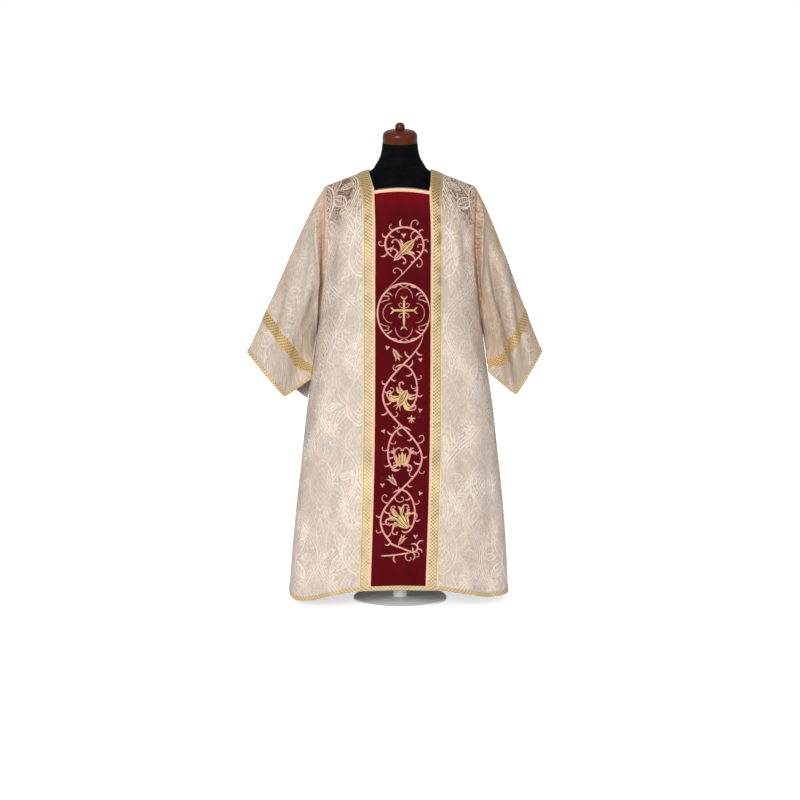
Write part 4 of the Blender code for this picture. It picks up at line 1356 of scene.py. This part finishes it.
BLOOM = (
    ("gold", "petal", 7.0, ((0, -24), (0, -10), (0, 4), (0, 14)), False),
    ("gold", "petal", 6.0, ((1, -24), (5, -10), (6, 2), (8, 10)), True),
    ("gold", "petal", 5.0, ((2, -24), (9, -12), (12, -3), (14, 4)), True),
    ("brown", "line", 1.5, ((2, -20), (3, -6), (4, 6)), True),
    ("brown", "line", 1.4, ((3, -20), (8, -8), (10, 0)), True),
    ("gold", "petal", 9.0, ((0, 6), (-2, 14), (-1, 22), (3, 27)), False),
    ("peach", "curl", 3.2, ((0, 16), (-4, 24), (1, 30), (6, 28), (5, 24)), False),
    ("brown", "line", 1.4, ((0, 9), (-1, 16), (0, 22)), False),
    ("gold", "petal", 8.0, ((6, 4), (13, 12), (20, 14)), True),
    ("peach", "petal", 4.0, ((10, 12), (12, 18), (11, 23)), True),
    ("peach", "curl", 3.4, ((14, 13), (22, 17), (28, 12), (26, 7), (22, 9)), True),
    ("brown", "line", 1.4, ((8, 6), (13, 11), (18, 13)), True),
    ("gold", "petal", 7.5, ((8, -4), (17, -2), (25, -7)), True),
    ("peach", "curl", 3.6, ((12, -6), (22, -5), (30, -12), (26, -19), (21, -16)), True),
    ("peach", "petal", 3.4, ((16, 0), (22, 4), (27, 3)), True),
    ("brown", "line", 1.4, ((10, -4), (17, -4), (22, -7)), True),
)
LEAF = (
    ("peach", "petal", 5.4, ((0, -7), (0, -4), (0, -1), (0, 1)), False),
    ("peach", "petal", 5.2, ((0, -2), (2, 0), (4, 2), (5, 4)), True),
)
STAR = (
    ("gold", "petal", 4.2, ((0, -9), (0, 0), (0, 9)), False),
    ("gold", "petal", 3.4, ((0, 0), (5, 2), (9, 2)), True),
    ("peach", "petal", 2.6, ((0, 0), (4, -4), (6, -7)), True),
)
# A plain cross with flared arms stands in the medallion.
CROSS = (
    ("gold", "stem", 5.2, ((0, -33), (0, -10), (0, 12), (0, 33)), False),
    ("gold", "stem", 5.2, ((0, 6), (9, 6), (18, 6), (25, 6)), True),
    ("gold", "petal", 4.0, ((0, 33), (4, 35), (8, 40)), True),
    ("gold", "petal", 4.0, ((0, -33), (4, -35), (8, -40)), True),
    ("gold", "petal", 4.0, ((25, 6), (27, 10), (32, 14)), True),
    ("gold", "petal", 4.0, ((25, 6), (27, 2), (32, -2)), True),
    ("peach", "curl", 2.4, ((3, 12), (9, 14), (12, 20), (8, 23), (6, 20)), True),
    ("peach", "curl", 2.4, ((3, 0), (9, -2), (12, -8), (8, -11), (6, -8)), True),
)
# Where each motif is set: across, up, turned by so many degrees, and its size.
MOTIFS = (
    (BUD, 5, 1050, 45, 1.75),
    (LEAF, 0, 1090, 0, 1.20),
    (CROSS, 2, 868, 0, 1.22),
    (LEAF, -45, 770, 15, 1.00),
    (LEAF, 50, 735, -10, 1.00),
    (SHUT_BUD, -20, 750, 150, 1.50),
    (LILY, 0, 625, 210, 1.65),
    (LEAF, 50, 590, 10, 1.05),
    (STAR, 25, 563, 0, 1.35),
    (TULIP, 0, 455, 0, 1.36),
    (LEAF, -55, 530, -25, 1.00),
    (LEAF, 55, 350, 20, 1.00),
    (LEAF, -55, 375, 0, 1.05),
    (SHUT_BUD, -25, 385, -40, 1.45),
    (BLOOM, 0, 275, -40, 1.45),
    (LEAF, 45, 225, 0, 1.10),
    (SHUT_BUD, 5, 212, 30, 1.30),
)

# The medallion's ring, its four lobes, each with its middle and bearings, and the leaves that are
# worked in all four corners: the kind of shape, its width and its places.
MEDALLION = (2, 868)
MEDALLION_HALF_WIDTH = 75
MEDALLION_HALF_HEIGHT = 84
MEDALLION_RING_WIDTH = 5.4
LOBE_HALF_WIDTH = 24
LOBE_HALF_HEIGHT = 28
LOBE_LINE_WIDTH = 1.9
MEDALLION_LOBES = (
    (0, 44, -5, 185),
    (35.2, 0, -95, 95),
    (0, -44, 175, 365),
    (-35.2, 0, 85, 275),
)
CORNER_LEAVES = (
    ("petal", 4.4, ((52, 60), (40, 55), (33, 48))),
    ("petal", 3.6, ((59, 49), (49, 49), (41, 46))),
    ("curl", 2.6, ((68, 30), (54, 36), (43, 38), (43, 43), (47, 43))),
    ("petal", 3.8, ((36, 72), (25, 74), (17, 78))),
    ("petal", 3.2, ((16, 81), (9, 78), (0, 74))),
)

THREADS = table(
    "name colour deep height lift slot",
    ("peach", (0.66, 0.330, 0.265), (0.42, 0.160, 0.125), 0.9, 0.00, "peach_edging"),
    ("gold", (0.68, 0.47, 0.22), (0.36, 0.19, 0.055), 1.1, 0.05, "gold_braid"),
    ("brown", (0.15, 0.045, 0.014), (0.07, 0.02, 0.01), 0.35, 1.9, "gold_braid"),
    ("mauve", (0.42, 0.13, 0.15), (0.25, 0.06, 0.08), 0.4, 0.0, "velvet"),
)


def smooth_line(places, step):
    """Return evenly spread places on a smooth line through a few places."""
    places = np.array(places, dtype=float)
    ends = np.concatenate([2 * places[:1] - places[1:2], places, 2 * places[-1:] - places[-2:-1]])
    length = np.linalg.norm(np.diff(places, axis=0), axis=1).sum()
    at = np.linspace(0.0, len(places) - 1.0001, max(6, int(length / step)))
    first = at.astype(int)
    t = (at - first)[:, None]
    a, b, c, d = ends[first], ends[first + 1], ends[first + 2], ends[first + 3]
    return b + 0.5 * t * (c - a + t * (2 * a - 5 * b + 4 * c - d + t * (3 * b - a - 3 * c + d)))


def stitched_width(kind, t):
    """Return the share of its full width that a stitched shape has along its line."""
    if kind == "petal":
        return np.sin(math.pi * np.clip(t, 0.02, 0.98) ** 0.85) ** 0.75
    if kind == "curl":
        drop = np.exp(-((t - 0.93) / 0.07) ** 2)
        return np.minimum(1.0, (1.0 - t) * 20.0) * (1.0 - 0.60 * t + 0.75 * drop)
    return np.minimum(1.0, 0.25 + 9.0 * np.minimum(t, 1.0 - t))


def on_panel(panel, places):
    """Return the points and directions of a panel at places given in millimetres."""
    middle = EDGE_COLUMN * FINE
    heights = panel.points[::-1, middle, 2]
    rows = np.interp(places[..., 1] / 1000.0, heights, np.arange(len(heights))[::-1])
    columns = middle + places[..., 0] / 1000.0 / ORPHREY_HALF * ORPHREY_COLUMN * FINE
    return read_grid(panel.points, rows, columns), unit(read_grid(panel.normals, rows, columns))


class Stitching:
    """All the shapes worked in one thread, which become one piece."""

    def __init__(self, thread):
        self.thread = thread
        self.points = []
        self.faces = []
        self.flat = []

    def work(self, kind, width, places, layer=0.0):
        """Work one shape along a line of places, with a width and a lift for its layer."""
        line = smooth_line(places, STITCH_STEP)
        way = np.gradient(line, axis=0)
        way /= np.linalg.norm(way, axis=1, keepdims=True)
        aside = np.stack([way[:, 1], -way[:, 0]], axis=1)
        half = 0.5 * width * stitched_width(kind, np.linspace(0.0, 1.0, len(line)))
        spread_out = half[:, None] * STITCH_ACROSS
        places = line[:, None] + aside[:, None] * spread_out[:, :, None]
        points, normals = on_panel(front, places)
        plump = np.minimum(1.0, half / FULL_HEIGHT_FROM)[:, None] * STITCH_HEIGHT
        lift = plump * self.thread.height + self.thread.lift + layer - STITCH_SINK
        points = points + normals * (lift[:, :, None] / 1000.0 + VELVET)
        along = np.cumsum(np.linalg.norm(np.gradient(line, axis=0), axis=1))
        flat = np.stack([spread_out, np.broadcast_to(along[:, None], spread_out.shape)], axis=2)
        start = len(self.points)
        count = len(STITCH_ACROSS)
        self.points.extend(points.reshape(-1, 3).tolist())
        self.flat.extend((flat.reshape(-1, 2) / 1000.0).tolist())
        self.faces.extend(
            tuple(start + corner for corner in face) for face in grid_faces(len(line), count)
        )

    def make(self):
        """Make the piece, in its thread's own sheen."""
        thread = self.thread
        name = thread.name + "_stitching"
        finish = Finish(name, thread.colour, 0.36, Sheen_Weight=0.25)
        across, along = finish.cloth_place()
        laid = (along + across * 0.35).ribs(0.0008)
        shade = finish.noise(60.0, detail=3.0) * 0.5 + laid * 0.25
        finish.colour_from(finish.ramp(shade, (0.24, *thread.deep), (0.52, *thread.colour)))
        finish.raised_by(laid, 0.00012)
        smoothed(mesh_piece(name, self.points, self.faces, finish.material, self.flat))


def wound(middle, half_width, half_height, start, end, last=1.0):
    """Return places on an oval between two bearings, drawn in to a last share of its size."""
    bearings = np.radians(np.linspace(start, end, WOUND_PLACES))
    share = 1.0 - (1.0 - last) * np.linspace(0.0, 1.0, WOUND_PLACES) ** 2
    return np.stack([
        middle[0] + half_width * share * np.cos(bearings),
        middle[1] + half_height * share * np.sin(bearings),
    ], axis=1)


def on_stem(height):
    """Return the places on the main stem at these heights."""
    swing = np.sin(math.pi * (BENDS[0][0] + BEND_HEIGHT / 2.0 - height) / BEND_HEIGHT)
    return np.stack([-STEM_SWING * swing, height], axis=1)


def set_out(shape, foot, lean, side, size):
    """Return a shape's places, set on its foot, leaning over and drawn on one of its sides."""
    return [
        (foot[0] + size * (side * x * math.cos(lean) + y * math.sin(lean)),
         foot[1] + size * (y * math.cos(lean) - side * x * math.sin(lean)))
        for x, y in shape
    ]


def stems():
    """Return each stem and its width: main stem, branches, top scroll and the low leaf."""
    wave = on_stem(np.linspace(STEM_TOP, STEM_END, 60))
    yield np.concatenate([wave, wound(*END_CURL)]), STEM_WIDTH
    for height, side in BENDS:
        yield wound(*BRANCH) * (side, 1.0) + (0.0, height), BRANCH_WIDTH
    yield np.concatenate([SCROLL_LEAD, wound(*SCROLL)]), STEM_WIDTH
    yield np.array(LOW_LEAF), LOW_LEAF_WIDTH


def is_clear(places, taken):
    """Say whether a sprig keeps to the panel and away from what is worked already."""
    ends = np.array(places[2:])
    away = np.linalg.norm(ends[:, None] - np.array(taken)[None], axis=2).min()
    return np.abs(ends[:, 0]).max() < PANEL_REACH and away > SPRIG_ROOM


def work_sprigs(line, taken):
    """Work sprigs along a stem, to its left and right in turn, wherever there is room."""
    way = np.gradient(line, axis=0)
    for count, foot in enumerate(range(SPRIG_START, len(line) - SPRIG_END, SPRIG_STEP)):
        kind, width, shape = SPRIGS[count // 2 % len(SPRIGS)]
        side = 1.0 if count % 2 else -1.0
        lean = math.atan2(way[foot, 0], way[foot, 1]) + side * SPRIG_LEAN
        for size in SPRIG_SIZES:
            placed = set_out(shape, line[foot], lean, side, size)
            if is_clear(placed, taken):
                work["peach"].work(kind, width, placed)
                taken.extend(placed[1:])
                break


def work_vine():
    """Work the stems with their sprigs, and a spray of tendrils beside each bend."""
    ring = wound(MEDALLION, MEDALLION_HALF_WIDTH, MEDALLION_HALF_HEIGHT, 0, 360)
    lines = []
    taken = ring.tolist()
    for motif, across, height, turned_by, size in MOTIFS:
        reach = size * (LEAF_REACH if motif is LEAF else FLOWER_REACH)
        taken.extend(wound((across, height), reach, reach, 0, 360).tolist())
    for places, width in stems():
        work["peach"].work("stem", width, places)
        lines.append(smooth_line(places, 1.0))
        taken.extend(lines[-1].tolist())
    for line in lines:
        work_sprigs(line, taken)
    for height, side in BENDS:
        foot = np.array((-side * TENDRIL_FOOT[0], height - TENDRIL_FOOT[1]))
        for bearing in np.radians(TENDRIL_BEARINGS):
            reach = TENDRIL_LENGTH * np.array((-side * math.cos(bearing), math.sin(bearing)))
            middle = foot + reach / 2.0 + (0.0, TENDRIL_BOW)
            work["mauve"].work("line", TENDRIL_WIDTH, (foot, middle, foot + reach))


def work_motif(motif, foot, turned_by, size):
    """Work one flower or leaf. Gold shapes lie lower one by one, and the others higher."""
    for layer, (thread, kind, width, places, both_sides) in enumerate(motif):
        step = 0.06 * (len(motif) - layer) if thread == "gold" else 0.03 * layer
        for side in (1.0, -1.0) if both_sides else (1.0,):
            placed = set_out(places, foot, math.radians(turned_by), side, size)
            work[thread].work(kind, width * size, placed, step)


def work_medallion():
    """Work the medallion's ring, its four lobes and the leaves in its corners."""
    ring = wound(MEDALLION, MEDALLION_HALF_WIDTH, MEDALLION_HALF_HEIGHT, 0, 361)
    work["peach"].work("stem", MEDALLION_RING_WIDTH, ring)
    for x, y, start, end in MEDALLION_LOBES:
        middle = (MEDALLION[0] + x, MEDALLION[1] + y)
        lobe = wound(middle, LOBE_HALF_WIDTH, LOBE_HALF_HEIGHT, start, end)
        work["peach"].work("line", LOBE_LINE_WIDTH, lobe)
    for kind, width, places in CORNER_LEAVES:
        for corner in ((1, 1), (1, -1), (-1, 1), (-1, -1)):
            work["peach"].work(kind, width, np.array(places) * corner + MEDALLION)


work = {thread.name: Stitching(thread) for thread in THREADS}
work_vine()
for motif, across, height, turned_by, size in MOTIFS:
    work_motif(motif, (across, height), turned_by, size)
work_medallion()
for stitching in work.values():
    stitching.make()


# ==================================================================== the galloons
# A woven gold braid with a lozenge ground, a peach satin cord on its inner edge and a thin gold
# one on the outer. Each runs from the front hem over the shoulder to the back hem.
BRAID = 0.0012
GALLOON_CROWN = 0.0003
PEACH_WIDTH = 0.0048
LOZENGE = 0.0102
NET_MIDDLE = 0.0182
NET_HALF = 0.0104
OUTER_MIDDLE = 0.0260
OUTER_STRIPE = 0.0300
GALLOON_STEPS_ACROSS = 10
GALLOON_STEPS_ALONG = 180
NECK_PIPING = 0.104


def braid_finish(name, bright_colour, deep_colour, net_middle, net_half):
    """Return woven gold braid with a net of lozenges on one strip of its width."""
    finish = Finish(name, bright_colour, 0.45, Sheen_Weight=0.1)
    across, along = finish.cloth_place()
    turn = 2.0 * math.pi / LOZENGE
    net = (across * turn).cosine() * (along * turn).cosine()
    on_net = (across - net_middle).size().falls(net_half, net_half + 0.0004)
    dark = net.falls(-0.30, 0.20) * on_net
    threads = along.ribs(0.0009)
    tarnish = finish.noise(14.0, detail=4.0, flat=True)
    bright = finish.ramp(
        tarnish,
        (0.32, *(0.80 * value for value in bright_colour)),
        (0.68, *(min(1.0, 1.12 * value) for value in bright_colour)),
    )
    deep = finish.ramp(
        tarnish,
        (0.32, *(0.75 * value for value in deep_colour)),
        (0.68, *(1.25 * value for value in deep_colour)),
    )
    finish.roughness_from(dark * 0.16 + threads * 0.08 + 0.36)
    finish.raised_by(dark * -1.0 + 1.0, 0.00015)
    finish.raised_by(threads, 0.00014)
    return finish, across, along, dark, bright, deep


def galloon_finish(side, net_share, shade_share, outer_shade):
    """Return the galloon's braid, with its peach edge, its two plain stripes and its outer cord.

    The net share says how clearly the net shows below the chest, the shade share how much painted
    shade darkens the braid at the shoulder, and the outer shade how much painted shade darkens its
    outer half below it.
    """
    finish, across, along, dark, bright, deep = braid_finish(
        "galloon_braid_painted_shade_" + side, (0.600, 0.475, 0.265), (0.150, 0.088, 0.020), NET_MIDDLE, NET_HALF
    )
    patches = finish.noise(30.0, detail=3.0, flat=True).falls(0.62, 0.40)
    # The net shows more clearly near the shoulder and, through the net share, on the right braid:
    # this is the braid's own net, strengthened as painted shade.
    clear = along.size().falls(0.19, 0.32) * 0.45 + net_share
    shade = finish.mixed(dark * (patches * 0.45 + 0.55) * clear, bright, deep)
    # Painted shade: near the shoulder and, in patches, down its outer half the braid turns olive
    # brown.
    patchy_tone_and_painted_shade = along.size().falls(0.105, 0.185) * shade_share
    outer = (across - OUTER_MIDDLE).size().falls(0.0060, 0.0085) * along.size().falls(0.25, 0.60)
    patchy_tone_and_painted_shade = patchy_tone_and_painted_shade.most(outer * outer_shade * patches)
    shade = finish.mixed(patchy_tone_and_painted_shade * (dark * 0.20 + 0.78), shade, (0.160, 0.105, 0.006))
    stripe = (across - OUTER_STRIPE).size().falls(0.0005, 0.0010)
    shade = finish.mixed(stripe, shade, (0.290, 0.190, 0.080))
    edge = across.falls(PEACH_WIDTH - 0.0004, PEACH_WIDTH + 0.0004)
    at_neck = along.size().falls(NECK_PIPING, NECK_PIPING + 0.004)
    piping = (across - PEACH_WIDTH * 0.5).size().falls(0.0006, 0.0012)
    piping = finish.mixed(piping, (0.115, 0.080, 0.030), (0.520, 0.410, 0.220))
    cord = finish.mixed(at_neck, (0.640, 0.375, 0.260), piping)
    finish.colour_from(finish.mixed(edge, shade, cord))
    return finish


def plain_braid_finish(name, bright_colour, deep_colour, net):
    """Return a narrow braid, with or without its net of lozenges."""
    finish, across, along, dark, bright, deep = braid_finish(
        name, bright_colour, deep_colour, 0.0, 9.0 if net else -1.0
    )
    finish.colour_from(finish.mixed(dark, bright, deep))
    return finish


def make_galloon(side, net_share, shade_share, outer_shade):
    """Lay one galloon from the front hem over the shoulder to the back hem."""
    braid = galloon_finish(side, net_share, shade_share, outer_shade)
    sign = 1.0 if side == "right" else -1.0
    lowest = LAST_ROW - front.rows_for(LAST_ROW, HEM_BINDING_WIDTH + SEAM_GAP)
    columns = spread(sign * ORPHREY_COLUMN, sign * GALLOON_COLUMN, GALLOON_STEPS_ACROSS)
    rows = spread(0.0, lowest, GALLOON_STEPS_ALONG)
    near = front.sampled(rows[::-1], columns)
    far = back.sampled(rows[1:], -columns)
    points, normals, flat = (np.concatenate(pair) for pair in zip(near, far))
    along = np.linalg.norm(np.diff(points[:, 0], axis=0), axis=1)
    along = np.concatenate([[0.0], np.cumsum(along)])
    along -= along[len(rows) - 1]
    across = spread(0.0, GALLOON_WIDTH, GALLOON_STEPS_ACROSS)
    along, across = np.meshgrid(along, across, indexing="ij")
    flat = np.stack([across, along], axis=2)
    crown = GALLOON_CROWN * np.sin(math.pi * across / GALLOON_WIDTH) ** 0.5
    if side == "left":
        points, normals, flat, crown = (grid[:, ::-1] for grid in (points, normals, flat, crown))
    outer = points + normals * (BRAID + crown)[:, :, None]
    inner = points + normals * LAID_GAP
    piece = shell("galloon_piece_" + side, outer[::-1], inner[::-1], flat[::-1],
                  braid.material)
    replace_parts(piece, "galloon_" + side)


# The two galloons are the same braid. The right one gets more painted shade and a clearer net than
# the left.
make_galloon("left", 0.55, 0.72, 0.10)
make_galloon("right", 0.85, 0.86, 0.70)


# ==================================================================== the neck bands
# A peach satin band covers the top edge of each orphrey, from galloon to galloon.
peach = Finish("peach_satin", (0.68, 0.44, 0.32), 0.42, Sheen_Weight=0.1)
peach_across, peach_along = peach.cloth_place()
peach_satin = peach.ramp(
    peach.noise(25.0, detail=3.0), (0.3, 0.57, 0.42, 0.27), (0.7, 0.64, 0.49, 0.33)
)
peach_low = (peach_along * -1.0).rises(0.0050, 0.0100)
peach_satin = peach.mixed(peach_low, peach_satin, (0.600, 0.320, 0.200))
peach_piping = (peach_along * -1.0).falls(0.0030, 0.0038)
peach.colour_from(peach.mixed(peach_piping, peach_satin, (0.110, 0.075, 0.028)))
peach.raised_by(peach_across.ribs(0.0016), 0.00015)


def make_neck_band(side, panel):
    """Lay the band over the top edge of one orphrey."""
    low = panel.neck_row + panel.rows_for(panel.neck_row, NECK_BAND_WIDTH)
    points, normals, flat = panel.sampled(
        spread(panel.neck_row, low, 8), spread(-ORPHREY_COLUMN, ORPHREY_COLUMN, 40)
    )
    flat[:, :, 1] = np.linspace(0.0, -NECK_BAND_WIDTH, len(points))[:, None]
    piece = laid_on("neck_band_piece_" + side, points, normals, flat, BRAID, peach.material)
    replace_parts(piece, "neck_band_" + side)


make_neck_band("front", front)
make_neck_band("back", back)


# ==================================================================== the hem and cuff bindings
# A narrow gold braid folded over the raw edges of the hem and of both cuffs, and a wider one
# sewn flat round each sleeve above its cuff.
CUFF_BINDING_WIDTH = 0.0130
# The band round each sleeve keeps its distance from the cuff, except at the inner fold, where it
# runs down to the cuff.
SLEEVE_BAND = table(
    "step low high",
    (0.0, 0.108, 0.141),
    (9.0, 0.108, 0.141),
    (10.0, 0.090, 0.122),
    (11.0, 0.018, 0.038),
    (12.0, 0.056, 0.086),
    (14.0, 0.105, 0.138),
    (22.0, 0.108, 0.141),
)


binding_braid = plain_braid_finish("binding_braid", (0.55, 0.43, 0.245), (0.330, 0.235, 0.110), True)
band_braid = plain_braid_finish("band_braid", (0.50, 0.345, 0.135), (0.260, 0.165, 0.050), True)


def make_hem_binding(side, panel):
    """Fold the binding over one panel's hem."""
    high = LAST_ROW - panel.rows_for(LAST_ROW, HEM_BINDING_WIDTH)
    points, normals, flat = panel.sampled(
        spread(high, LAST_ROW, 6), spread(-EDGE_COLUMN, EDGE_COLUMN, 176)
    )
    piece = laid_on("hem_binding_piece_" + side, points, normals, flat, BRAID,
                    binding_braid.material)
    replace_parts(piece, "hem_binding_" + side)


def make_ring_braid(name, sleeve, side, low, high, braid, cut):
    """Sew a braid flat round a sleeve, between two distances from its cuff."""
    shares = spread(1.0, 0.0, 6)
    rings = [sleeve.ring(low + (high - low) * share) for share in shares]
    points, normals = (np.stack(grid) for grid in zip(*rings))
    around = np.linalg.norm(np.roll(points[3], -1, axis=0) - points[3], axis=1)
    around, along = np.meshgrid(np.cumsum(around) - around[0], shares * cut[1])
    flat = np.stack([around, along], axis=2)
    if side == "right":
        points, normals, flat = points[:, ::-1], normals[:, ::-1], flat[:, ::-1]
    piece = laid_on(name + "_piece_" + side, points, normals, flat, BRAID, braid.material,
                    closed=True)
    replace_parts(piece, name + "_" + side)


make_hem_binding("front", front)
make_hem_binding("back", back)
band_steps = np.arange(LOOP_STEPS * FINE) / FINE
band_low = np.interp(band_steps, column_of(SLEEVE_BAND, "step"), column_of(SLEEVE_BAND, "low"))
band_high = np.interp(band_steps, column_of(SLEEVE_BAND, "step"), column_of(SLEEVE_BAND, "high"))
for side, sleeve, cuff_length, band_length in (
    ("left", left_sleeve, 0.58, 0.48),
    ("right", right_sleeve, 0.49, 0.49),
):
    make_ring_braid("cuff_binding", sleeve, side, 0.0, CUFF_BINDING_WIDTH, binding_braid,
                    (cuff_length, CUFF_BINDING_WIDTH))
    make_ring_braid("sleeve_band", sleeve, side, band_low, band_high, band_braid,
                    (band_length, 0.033))
